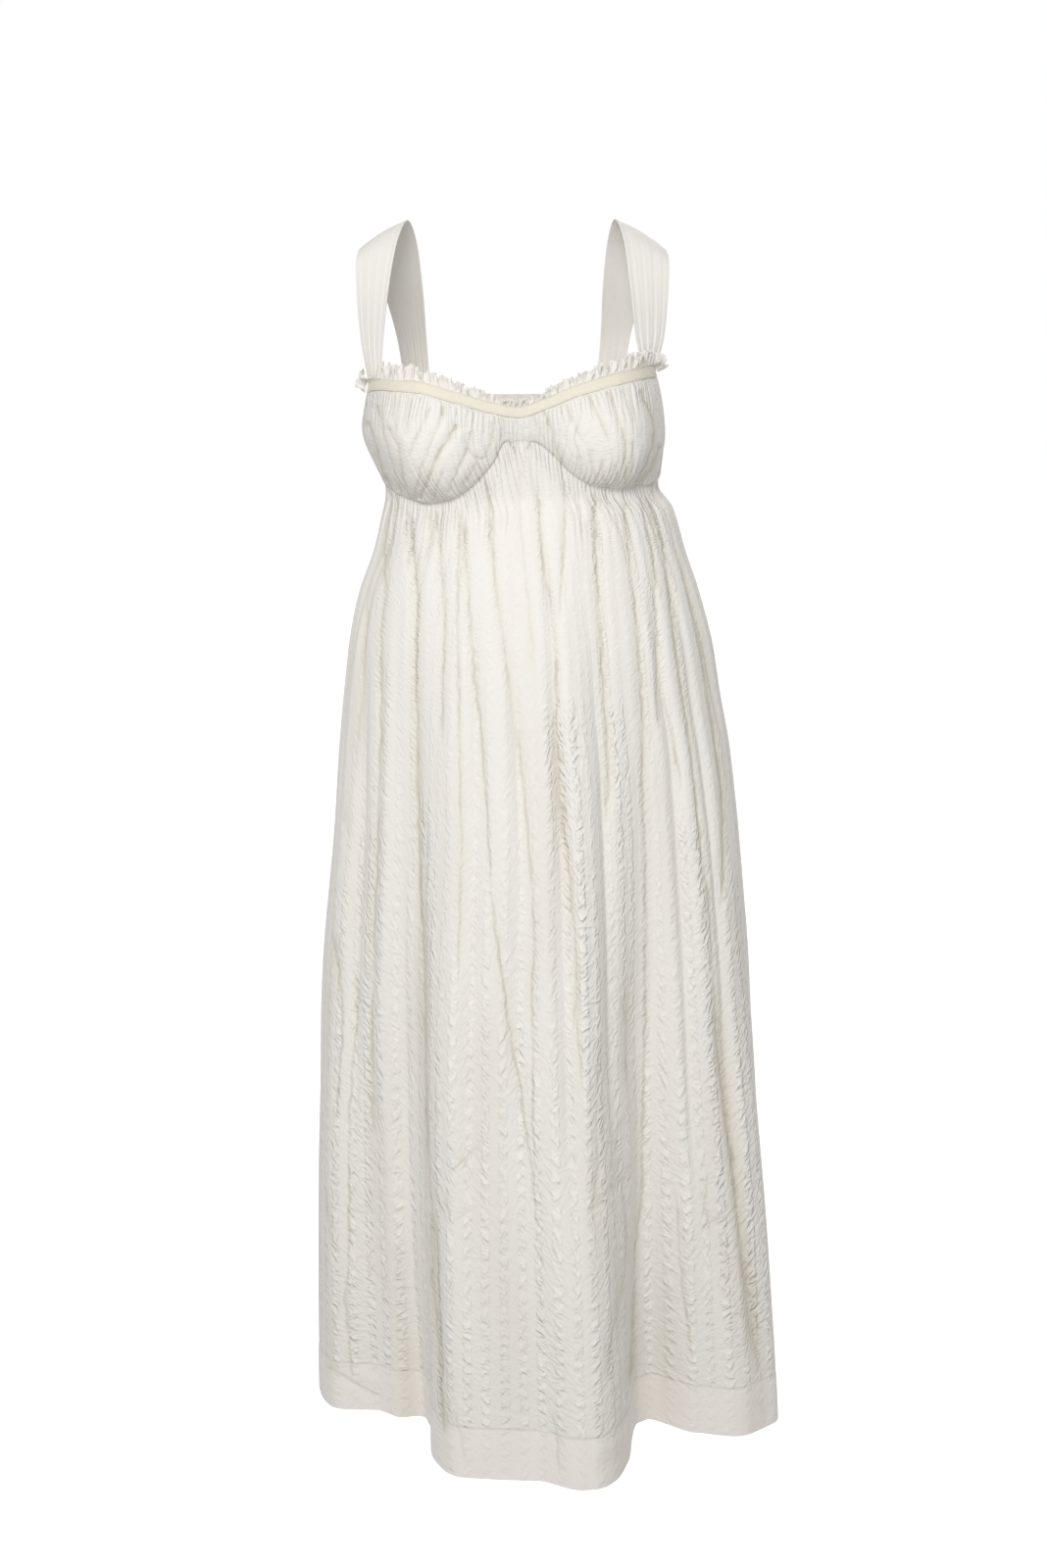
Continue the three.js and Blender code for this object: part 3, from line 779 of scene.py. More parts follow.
# Creases of the skirt's back, in millimetres seen from behind: across to the right, then down.
SKIRT_BACK_CREASES = (
    Crease(((-128, 560), (-96, 574), (-70, 596)), -2.2, 3.2, 8.0, 12.0),
    Crease(((40, 640), (72, 622), (98, 596)), -2.0, 3.0, 8.0, 10.0),
    Crease(((-30, 820), (-6, 838), (22, 842)), -1.8, 3.4, 8.0, 10.0),
    Crease(((104, 900), (132, 884), (150, 860)), -2.2, 3.4, 8.0, 10.0),
    Crease(((-176, 930), (-150, 944), (-118, 946)), 1.8, 4.5, 10.0, 10.0),
    Crease(((-74, 980), (-52, 1004), (-44, 1032)), -2.0, 4.0, 8.0, 12.0),
    Crease(((20, 1010), (48, 996), (70, 968)), -2.0, 3.6, 8.0, 10.0),
    Crease(((-150, 1130), (-128, 1144), (-104, 1150)), -2.4, 4.0, 8.0, 8.0),
    Crease(((90, 1120), (112, 1140), (120, 1168)), -2.0, 4.0, 8.0, 8.0),
    Crease(((150, 1030), (158, 1070), (154, 1116)), -2.6, 4.5, 12.0, 12.0),
    Crease(((-20, 700), (-12, 760), (-22, 820), (-16, 880)), -2.4, 5.0, 30.0, 30.0),
    Crease(((62, 740), (70, 800), (64, 860), (72, 930)), -2.6, 5.0, 30.0, 30.0),
)
SKIRT_BACK_BANDS = (
    Band(((-150, 620), (-152, 800), (-158, 1000), (-160, 1180)), 26, 0.9),
    Band(((-62, 560), (-60, 760), (-66, 960), (-64, 1180)), 24, 0.8),
    Band(((30, 660), (40, 840), (36, 1020), (44, 1180)), 26, 0.9),
    Band(((120, 600), (126, 800), (134, 1000), (140, 1180)), 26, 1.0),
)

# Gathers and pouches of the two cups, traced from the photograph.
LEFT_CUP_CREASES = (
    Crease(((440, 413), (431, 432), (419, 457), (414, 474)), -2.2, 3.6, 5.0, 15.0),
    Crease(((467, 431), (456, 450), (445, 466), (440, 482), (432, 498), (428, 510)),
           -4.6, 4.2, 6.0, 1.0),
    Crease(((481, 438), (478, 453), (473, 469), (463, 487), (457, 504)), -3.0, 3.6, 6.0, 1.0),
    Crease(((476, 456), (482, 466), (491, 470), (500, 463)), -2.4, 3.0, 4.0, 4.0),
    Crease(((501, 428), (503, 449), (495, 466)), -2.4, 3.2, 6.0, 5.0),
    Crease(((374, 428), (382, 454), (390, 482), (402, 504)), -3.4, 4.0, 5.0, 1.0),
    Crease(((392, 432), (405, 452), (409, 480), (414, 500), (420, 514)), -3.4, 4.0, 8.0, 1.0),
    Crease(((384, 412), (389, 436), (396, 462), (406, 492), (410, 509)), -2.8, 3.6, 5.0, 1.0),
    Crease(((452, 412), (447, 436), (434, 464), (425, 494), (422, 513)), -2.6, 3.8, 5.0, 1.0),
    Crease(((512, 418), (514, 436), (511, 452)), -1.6, 3.4, 5.0, 6.0),
    Crease(((404, 404), (400, 424), (405, 446)), -1.8, 4.0, 5.0, 12.0),
    Crease(((420, 406), (413, 428), (413, 452)), -1.6, 4.0, 5.0, 12.0),
    Crease(((488, 470), (478, 486), (470, 499)), -1.8, 3.4, 6.0, 1.0),
    Crease(((452, 478), (447, 494), (441, 511)), -2.2, 3.4, 6.0, 1.0),
)
RIGHT_CUP_CREASES = (
    Crease(((553, 415), (561, 434), (569, 463), (580, 484)), -2.8, 3.6, 5.0, 4.0),
    Crease(((541, 421), (549, 436), (556, 452)), -1.6, 3.4, 5.0, 8.0),
    Crease(((574, 407), (586, 431), (594, 452)), -2.2, 3.6, 5.0, 12.0),
    Crease(((598, 400), (614, 431), (623, 454)), -2.4, 3.8, 5.0, 12.0),
    Crease(((619, 396), (631, 428), (638, 446), (639, 466), (638, 490), (640, 499)),
           -3.4, 3.8, 5.0, 1.0),
    Crease(((653, 396), (664, 420), (669, 436), (667, 457), (660, 474), (650, 492), (644, 501)),
           -4.8, 4.2, 5.0, 1.0),
    Crease(((674, 452), (668, 474), (659, 488), (648, 500)), -3.4, 3.6, 5.0, 1.0),
    Crease(((614, 468), (616, 490), (622, 500)), -2.0, 3.2, 5.0, 1.0),
    Crease(((646, 448), (647, 472), (643, 494)), -2.2, 3.2, 5.0, 1.0),
    Crease(((602, 455), (604, 478), (612, 497)), -2.2, 3.6, 8.0, 1.0),
    Crease(((590, 462), (592, 478), (597, 492)), -1.8, 3.4, 8.0, 1.0),
    Crease(((637, 392), (646, 414), (650, 434)), -1.8, 3.8, 5.0, 10.0),
    Crease(((628, 470), (629, 488), (633, 500)), -2.0, 3.2, 6.0, 1.0),
)

# What the cloth's layers measure, in millimetres.
CLOTH_WALL = 1.0
TAPE_WIDTH = 10.0
SEAM_CENTRE = 2.4
SEAM_CENTRE_HALF = 4.5
FLUSH_DEPTH = 0.15
HEM_TURN_UP = 50.0
NO_HEM = 1000.0
WAVE = 2 * math.pi


def arc_table(level: float) -> tuple[Array, Array]:
    """Angles round the body, and the length of cloth up to each, at one level.

    Args:
        level: The level's height.

    Returns:
        The angles and the lengths.
    """
    samples = np.linspace(-2 * SIDE, 3 * SIDE, 1801)
    line = FORM.folded(samples, np.full_like(samples, level))
    steps = np.linalg.norm(np.diff(line, axis=0), axis=1)
    return samples, np.concatenate([[0.0], np.cumsum(steps)])


def off_centre(angle: Array) -> Array:
    """How much of a seam shows at each angle: none between the two tips in front."""
    away = np.abs(wrap(angle - SEAM_CENTRE))
    return smooth_step(SEAM_CENTRE_HALF - 0.6, SEAM_CENTRE_HALF + 0.8, away)


LINES = FineLines()
WAIST_ARC = arc_table(-240.0)
NECK_ARC = arc_table(-140.0)


@dataclass(frozen=True)
class SeamGathers:
    """Small gathers that start at a seam and die away from it, in millimetres."""

    pitch: float
    height: float
    rise: float
    hold: float
    length: float
    shift: float = 0.0
    roundness: float = 0.75

    def lift(self, arc: Array, distance: Array) -> Array:
        """How far the gathers bring each place out.

        Args:
            arc: Lengths along the seam.
            distance: Distances from the seam.

        Returns:
            The lift at each place.
        """
        drift = waves(arc, ((0.35, 37, self.shift), (0.22, 17, 1)))
        ridge = np.abs(np.sin(math.pi * (arc / self.pitch + drift))) ** self.roundness
        wave = 2 * ridge - 1.3
        uneven = 0.75 + 0.35 * np.sin(arc / 23 + self.shift) * np.sin(arc / 8.1)
        rising = smooth_step(0.0, self.rise, distance)
        dying = 1 - smooth_step(self.hold, self.length, distance)
        return self.height * wave * uneven * rising * dying


class Held(Enum):
    """How a sheet of cloth is kept in its shape."""

    HUNG = "hung"
    GATHERED = "gathered"
    STRETCHED = "stretched"


@dataclass(frozen=True)
class Cut:
    """The size that a piece is cut to, in metres and square metres, and what it hangs from."""

    width: float
    length: float
    area: float
    held: Held
    hangs_from: tuple[str, ...] = ()


@dataclass
class ClothPiece:
    """One sheet of cloth: a grid that is shaped, given its thickness and finished."""

    name: str
    node: str
    cut: Cut
    columns: int
    rows: int
    wall: float = CLOTH_WALL

    def shape(self, across: Array, up: Array) -> Array:
        """Points of the outer face in millimetres, for shares across and up the sheet."""
        raise NotImplementedError

    def marks(self, across: Array, up: Array) -> dict[str, Array]:
        """Named values that the finish reads at each point."""
        return self.all_marks(across)

    def all_marks(self, across: Array, **given: Array) -> dict[str, Array]:
        """The given values, and those of plain cloth for the rest.

        Args:
            across: Shares across the sheet.
            given: Values by name.

        Returns:
            Every value that the finish reads, by name.
        """
        none = np.zeros(across.shape)
        marks = {"crinkle": none, "above_hem": none + NO_HEM, "hollow": none, "gathered": none,
                 "along_seam": none, "from_seam": none, "slant": none,
                 **LINES.values((), across, across)}
        return {**marks, **given}

    def thickness(self, across: Array, up: Array) -> Array:
        """Share of the wall that each place has."""
        return np.ones(across.shape)

    def layout(self, across: Array, up: Array) -> Array:
        """Places on the flat cloth, in metres."""
        return np.stack([across * self.cut.width, up * self.cut.length], axis=-1)

    def add_grid(self) -> bpy.types.Object:
        """Adds the flat grid that the sheet starts from.

        Returns:
            The flat sheet, one metre each way.
        """
        bpy.ops.object.select_all(action="DESELECT")
        bpy.ops.mesh.primitive_grid_add(
            x_subdivisions=self.columns, y_subdivisions=self.rows, size=1.0, location=(0, 0, 0)
        )
        sheet = bpy.context.object
        sheet.name = self.name
        sheet.data.name = self.name
        return sheet

    def lay_out(self, mesh: bpy.types.Mesh, flat: Array) -> None:
        """Gives every corner of the faces its place on the flat cloth.

        Args:
            mesh: The sheet's mesh.
            flat: The place of each point on the flat cloth.
        """
        corners = np.empty(len(mesh.loops), np.int32)
        mesh.loops.foreach_get("vertex_index", corners)
        mesh.uv_layers.active.name = "cloth"
        mesh.uv_layers["cloth"].uv.foreach_set("vector", flat[corners].astype(np.float32).ravel())

    def build(self, finish: bpy.types.Material, slot: str) -> bpy.types.Object:
        """Args:
            finish: The material that it wears.
            slot: The record's name of that material; not used.

        Returns:
            The finished piece.
        """
        sheet = self.add_grid()
        mesh = sheet.data
        plain = np.empty(len(mesh.vertices) * 3)
        mesh.vertices.foreach_get("co", plain)
        across, up = (plain.reshape(-1, 3)[:, :2] + 0.5).T
        points = self.shape(across, up) * MM
        mesh.vertices.foreach_set("co", points.astype(np.float32).ravel())
        self.lay_out(mesh, self.layout(across, up))
        for name, values in self.marks(across, up).items():
            kind, part = ("FLOAT", "value") if values.ndim == 1 else ("FLOAT_VECTOR", "vector")
            mark = mesh.attributes.new(name, kind, "POINT")
            mark.data.foreach_set(part, values.astype(np.float32).ravel())
        self.thicken(sheet, self.thickness(across, up))
        mesh.materials.append(finish)
        self.declare(sheet)
        return sheet

    def thicken(self, sheet: bpy.types.Object, shares: Array) -> None:
        """Gives the sheet its wall, inwards from the outer face.

        Args:
            sheet: The sheet.
            shares: Share of the wall that each point has.
        """
        group = sheet.vertex_groups.new(name="wall")
        for share in np.unique(shares.round(2)):
            members = np.flatnonzero(shares.round(2) == share)
            group.add(members.tolist(), float(share), "REPLACE")
        solid = sheet.modifiers.new("wall", "SOLIDIFY")
        solid.thickness = self.wall * MM
        solid.offset = -1.0
        solid.vertex_group = group.name
        bpy.ops.object.modifier_apply(modifier=solid.name)
        bpy.ops.object.shade_smooth_by_angle(angle=math.radians(60))

    def declare(self, sheet: bpy.types.Object) -> None:
        """Hangs the piece on the body's root, hides the part that it stands for and logs how many
        points and faces it has.

        Args:
            sheet: The sheet.
        """
        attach(sheet, "root")
        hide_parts(self.node)
        LOG.info("%s: %d points, %d faces", self.name, len(sheet.data.vertices),
                 len(sheet.data.polygons))


@dataclass
class SkirtPanel(ClothPiece):
    """One half of the skirt, gathered into the seam under the bust, with a deep hem."""

    first: float = -SIDE
    last: float = SIDE
    creases: tuple[Crease, ...] = ()
    bands: tuple[Band, ...] = ()
    gathers: tuple[Gather, ...] = ()
    seam_gathers: tuple[SeamGathers, ...] = (
        SeamGathers(10.5, 0.8, 5.0, 22.0, 95.0),
        SeamGathers(6.7, 0.45, 3.0, 10.0, 42.0, 1.7),
    )
    crease_depth: float = 0.52
    # Depth of trough, in millimetres, at which the painted shade in the hollows is full.
    hollow_depth: float = 4.5
    least_crinkle: float = 0.55
    line_strength: float = 1.0
    full_slant: float = 0.3
    length: float = 950.0
    row_places: tuple[Point, ...] = (
        (0.035, 0.0), (0.19, 0.063), (0.36, 0.21), (0.83, 0.84), (1.0, 1.0))
    tuck: float = 5.0
    tuck_depth: float = 1.6
    fade: float = 10.0
    side_fade: float = 9.0
    groove: float = 0.9
    groove_width: float = 2.2
    ripple: float = 0.8
    hem_calm: float = 0.6
    single_cloth: float = 0.6
    hem_step: float = 0.7
    behind: bool = False

    def angles(self, across: Array) -> Array:
        """Angles of the places across the sheet."""
        return FORM.panel_angles(self.first, self.last, across)

    def drop(self, across: Array, up: Array) -> Array:
        """How far each place hangs below the seam, with closer rows near it and the hem.

        Args:
            across: Shares across the sheet.
            up: Shares up the sheet.

        Returns:
            The drop of each place, below zero in the tuck behind the seam.
        """
        down = 1 - up
        angle = self.angles(across)
        keys, shares = zip((0.0, -self.tuck / self.length), *self.row_places)
        return (FORM.seam(angle) - FORM.hem(angle)) * np.interp(down, keys, shares)

    def seen(self, points: Array) -> tuple[Array, Array]:
        """Places in the frame that the tables of creases are written in.

        Args:
            points: Points of the cloth.

        Returns:
            Their places across and down.
        """
        if self.behind:
            return -points[..., 0], -points[..., 2]
        return VIEW.project(points)

    def facing(self, angle: Array, z: Array) -> Array:
        """How much each place faces the side that its creases are drawn on."""
        out = FORM.outward(FORM.ring, angle, z)[..., 1]
        return smooth_step(0.2, 0.5, out if self.behind else -out)

    def slant(self, angle: Array, z: Array) -> Array:
        """Which way the crinkles lean, from -1 to 1: down towards the crest of each fold."""
        aside = FORM.outward(FORM.folded, angle, z)[..., 0]
        return np.clip((-aside if self.behind else aside) / self.full_slant, -1.0, 1.0)

    def lift(self, angle: Array, z: Array, drop: Array) -> Array:
        """How far creases, gathers and ripples bring each place out.

        Args:
            angle: Angles round the body.
            z: Heights.
            drop: How far each place is below the seam.

        Returns:
            The lift at each place.
        """
        across, down = self.seen(FORM.cloth(angle, z))
        total = self.crease_depth * lift_of(self.creases, across, down) * self.facing(angle, z)
        for gather in self.gathers:
            total += gather.lift(FORM, angle, z, drop)
        arc = np.interp(angle, *WAIST_ARC)
        for gathers in self.seam_gathers:
            total += gathers.lift(arc, drop)
        grown = smooth_step(60.0, 400.0, drop)
        total += self.ripple * grown * np.sin(arc / 11.3 + drop / 190 + 1.4 * np.sin(drop / 83))
        total += self.ripple * grown * 0.7 * np.sin(arc / 7.1 - drop / 130 + 2.1)
        side = FORM.from_sides(self.first, self.last, angle, z)
        return total * smooth_step(0.0, self.fade, drop) * smooth_step(0.0, self.side_fade, side)

    def shape(self, across: Array, up: Array) -> Array:
        """Points of the outer face in millimetres, for shares across and up the sheet.

        Args:
            across: Shares across the sheet.
            up: Shares up the sheet.

        Returns:
            One point for each place.
        """
        angle = self.angles(across)
        drop = self.drop(across, up)
        z = FORM.seam(angle) - drop
        tucked = 1 - smooth_step(-2.5, 1.0, drop)
        seamed = off_centre(angle)
        groove = self.groove * bell(drop, self.groove_width) * seamed
        behind = tucked * (FLUSH_DEPTH + (self.tuck_depth - FLUSH_DEPTH) * seamed)
        doubled = 1 - smooth_step(HEM_TURN_UP - 9, HEM_TURN_UP, z - FORM.hem(angle))
        lift = self.lift(angle, z, drop) + self.hem_step * doubled
        return FORM.cloth(angle, z, lift - behind - groove)

    def marks(self, across: Array, up: Array) -> dict[str, Array]:
        """The strips of strong crinkles and the turned-up hem.

        Args:
            across: Shares across the sheet.
            up: Shares up the sheet.

        Returns:
            The values that the finish reads, by name.
        """
        angle = self.angles(across)
        drop = self.drop(across, up)
        z = FORM.seam(angle) - drop
        x, y = self.seen(FORM.cloth(angle, z))
        facing = self.facing(angle, z)
        lines = LINES.values(self.creases, x, y)
        lines["line_strengths"] *= self.line_strength * facing[:, None]
        crinkle = self.least_crinkle * (0.3 + 0.7 * smooth_step(60.0, 700.0, drop))
        crinkle = np.maximum(crinkle, 0.5 * lines["line_strengths"].max(axis=1))
        for band in self.bands:
            crinkle = np.maximum(crinkle, band.mask(x, y) * facing)
        above = z - FORM.hem(angle)
        hem = 1 - smooth_step(HEM_TURN_UP - 2, HEM_TURN_UP + 1, above)
        # Painted shade: the colour darkens in the troughs, the more the deeper they are.
        hollow = np.clip(-self.lift(angle, z, drop) / self.hollow_depth, 0.0, 1.0)
        return self.all_marks(
            across, crinkle=crinkle * (1 - self.hem_calm * hem), above_hem=above - HEM_TURN_UP,
            hollow=hollow, gathered=1 - smooth_step(30.0, 150.0, drop), from_seam=drop,
            along_seam=np.interp(angle, *WAIST_ARC), slant=self.slant(angle, z), **lines)

    def thickness(self, across: Array, up: Array) -> Array:
        """Full where the hem is doubled, and thinner above it.

        Args:
            across: Shares across the sheet.
            up: Shares up the sheet.

        Returns:
            Share of the wall that each place has.
        """
        angle = self.angles(across)
        above = FORM.seam(angle) - self.drop(across, up) - FORM.hem(angle)
        return np.where(above < HEM_TURN_UP, 1.0, self.single_cloth)


@dataclass
class Cup(ClothPiece):
    """One gathered cup, from the side seam to the middle of the front."""

    first: float = -SIDE
    last: float = SEAM_CENTRE
    slant: float = 7.0
    creases: tuple[Crease, ...] = ()
    lower: SeamGathers = SeamGathers(8.5, 0.6, 4.0, 12.0, 46.0)
    upper: SeamGathers = SeamGathers(8.1, 0.4, 4.0, 12.0, 52.0, 2.0)
    roll: float = 0.8
    below_tape: float = 0.9
    crinkle: float = 0.3
    crease_depth: float = 0.48
    # Depth of trough, in millimetres, at which the painted shade in the hollows is full.
    hollow_depth: float = 3.5
    thin_wall: float = 0.12

    def place(self, across: Array, up: Array) -> tuple[Array, Array, Array]:
        """Angles, heights and distances above the seam of the places on the sheet.

        Args:
            across: Shares across the sheet.
            up: Shares up the sheet.

        Returns:
            The three sets of values.
        """
        angle = FORM.panel_angles(self.first, self.last, across)
        share = (angle - self.first) / (self.last - self.first)
        inwards = 1.0 if self.first < 0 else -1.0
        top = angle + inwards * self.slant * np.sin(math.pi * share)
        low = FORM.seam(angle)
        high = FORM.edge(top) - TAPE_WIDTH
        body = np.clip(up / self.below_tape, 0.0, 1.0)
        strip = np.clip((up - self.below_tape) / (1 - self.below_tape), 0.0, 1.0)
        z = low + (high - low) * body + TAPE_WIDTH * strip
        return angle + (top - angle) * body, z, z - low

    def side(self, angle: Array, z: Array) -> Array:
        """How far each place is from the nearer end of the cup."""
        return FORM.from_sides(self.first, self.last, angle, z)

    def lift(self, angle: Array, z: Array, height: Array) -> Array:
        """How far creases and gathers bring each place out.

        Args:
            angle: Angles round the body.
            z: Heights.
            height: Distances above the seam.

        Returns:
            The lift at each place.
        """
        to_neck = FORM.edge(angle) - TAPE_WIDTH - z
        x, y = VIEW.project(FORM.cloth(angle, z))
        total = self.crease_depth * lift_of(self.creases, x, y)
        total += self.lower.lift(np.interp(angle, *WAIST_ARC), height) * off_centre(angle)
        total += self.upper.lift(np.interp(angle, *NECK_ARC), to_neck)
        held = smooth_step(0.0, 7.0, self.side(angle, z)) * smooth_step(0.0, 6.0, to_neck)
        joined = np.maximum(off_centre(angle), smooth_step(0.0, 14.0, height))
        return total * held * joined

    def shape(self, across: Array, up: Array) -> Array:
        """Points of the outer face in millimetres, for shares across and up the sheet.

        Args:
            across: Shares across the sheet.
            up: Shares up the sheet.

        Returns:
            One point for each place.
        """
        angle, z, height = self.place(across, up)
        rolled = self.roll * (1 - smooth_step(1.0, 7.0, height)) * off_centre(angle)
        rolled *= smooth_step(0.0, 5.0, self.side(angle, z))
        return FORM.cloth(angle, z, self.lift(angle, z, height) + rolled)

    def marks(self, across: Array, up: Array) -> dict[str, Array]:
        """The fine crinkles are even over a cup.

        Args:
            across: Shares across the sheet.
            up: Shares up the sheet.

        Returns:
            The values that the finish reads, by name.
        """
        angle, z, height = self.place(across, up)
        # Painted shade: the colour darkens in the troughs, the more the deeper they are.
        hollow = np.clip(-self.lift(angle, z, height) / self.hollow_depth, 0.0, 1.0)
        x, y = VIEW.project(FORM.cloth(angle, z))
        to_neck = FORM.edge(angle) - TAPE_WIDTH - z
        middle = 0.6 + 0.4 * smooth_step(0.0, 12.0, np.abs(wrap(angle - SEAM_CENTRE)))
        return self.all_marks(
            across, crinkle=np.full(across.shape, self.crinkle), hollow=hollow,
            gathered=middle * smooth_step(0.0, 4.0, to_neck), from_seam=np.minimum(height, to_neck),
            along_seam=np.interp(angle, *WAIST_ARC), **LINES.values(self.creases, x, y))

    def thickness(self, across: Array, up: Array) -> Array:
        """Thin at the middle of the front, where the cups run on into the skirt.

        Args:
            across: Shares across the sheet.
            up: Shares up the sheet.

        Returns:
            Share of the wall that each place has.
        """
        angle, _, height = self.place(across, up)
        whole = np.maximum(off_centre(angle), smooth_step(2.0, 14.0, height))
        return self.thin_wall + (1 - self.thin_wall) * whole


@dataclass
class BackBodice(ClothPiece):
    """The back of the bodice, from side seam to side seam, in even soft gathers."""

    gathers: SeamGathers = SeamGathers(10.0, 1.1, 5.0, 200.0, 260.0, 1.0)
    edge_hold: float = 4.0
    roll: float = 0.8
    hem: float = 0.5

    def shape(self, across: Array, up: Array) -> Array:
        """Points of the outer face in millimetres, for shares across and up the sheet.

        Args:
            across: Shares across the sheet.
            up: Shares up the sheet.

        Returns:
            One point for each place.
        """
        angle = FORM.panel_angles(SIDE, TURN - SIDE, across)
        low, high = FORM.seam(angle), FORM.edge(angle)
        z = low + (high - low) * up
        side = FORM.from_sides(SIDE, TURN - SIDE, angle, z)
        lift = self.gathers.lift(np.interp(angle, *WAIST_ARC), z - low)
        lift *= smooth_step(0.0, self.edge_hold, high - z) * smooth_step(0.0, 7.0, side)
        open_side = smooth_step(0.0, 5.0, side)
        rolled = self.roll * (1 - smooth_step(1.0, 6.0, z - low)) * open_side
        hem = self.hem * smooth_step(-4.0, -2.0, z - high) * open_side
        return FORM.cloth(angle, z, lift + rolled + hem)


def smooth_curve(knots: Array, count: int) -> Array:
    """A smooth line through knots, in steps of even length.

    Args:
        knots: The points that the line passes through.
        count: How many steps it has.

    Returns:
        Its points, both ends among them.
    """
    ends = np.concatenate([[2 * knots[0] - knots[1]], knots, [2 * knots[-1] - knots[-2]]])
    gaps = np.linalg.norm(np.diff(ends, axis=0), axis=1) ** 0.5
    share = np.linspace(0, 1, 25)[:, None]
    spans = []
    for row in range(len(knots) - 1):
        before, here, ahead, beyond = ends[row:row + 4]
        gap_in, gap, gap_out = gaps[row:row + 3]
        leave = (here - before) / gap_in - (ahead - before) / (gap_in + gap) + (ahead - here) / gap
        reach = (ahead - here) / gap - (beyond - here) / (gap + gap_out) + (beyond - ahead) / gap_out
        leave, reach = leave * gap, reach * gap
        square = -3 * here + 3 * ahead - 2 * leave - reach
        cube = 2 * here - 2 * ahead + leave + reach
        spans.append(here + share * (leave + share * (square + share * cube)))
    line = np.concatenate([span[:-1] for span in spans] + [knots[-1:]])
    passed = np.concatenate([[0.0], np.cumsum(np.linalg.norm(np.diff(line, axis=0), axis=1))])
    wanted = np.linspace(0, passed[-1], count + 1)
    return np.stack([np.interp(wanted, passed, line[:, axis]) for axis in range(3)], axis=-1)


# The straps' middle lines, each from its front foot to its back foot, as distances from the
# middle of the body: half the width, how far the outer edge is turned back, and its slope.
LEFT_STRAP_SECTIONS = (
    (135, -52, -98, 16.5, 46, 0),
    (134, -46, -52, 19.5, 33, 10),
    (130.5, -27, -14, 22.5, 12, 23),
    (124, 0, 0, 25.5, 0, 30),
    (117, 27, -14, 24, -8, 23),
    (109, 50, -52, 20, -16, 11),
    (101, 70, -105, 15.5, -24, 4),
)
RIGHT_STRAP_SECTIONS = (
    (131, -52, -98, 17, 36, 0),
    (130, -46, -52, 20.5, 22, 10),
    (127.5, -27, -14, 24, 5, 23),
    (122, 0, 0, 27.5, 0, 30),
    (115.5, 27, -14, 25, -8, 23),
    (108, 50, -52, 20.5, -16, 11),
    (101, 70, -105, 15.5, -24, 4),
)


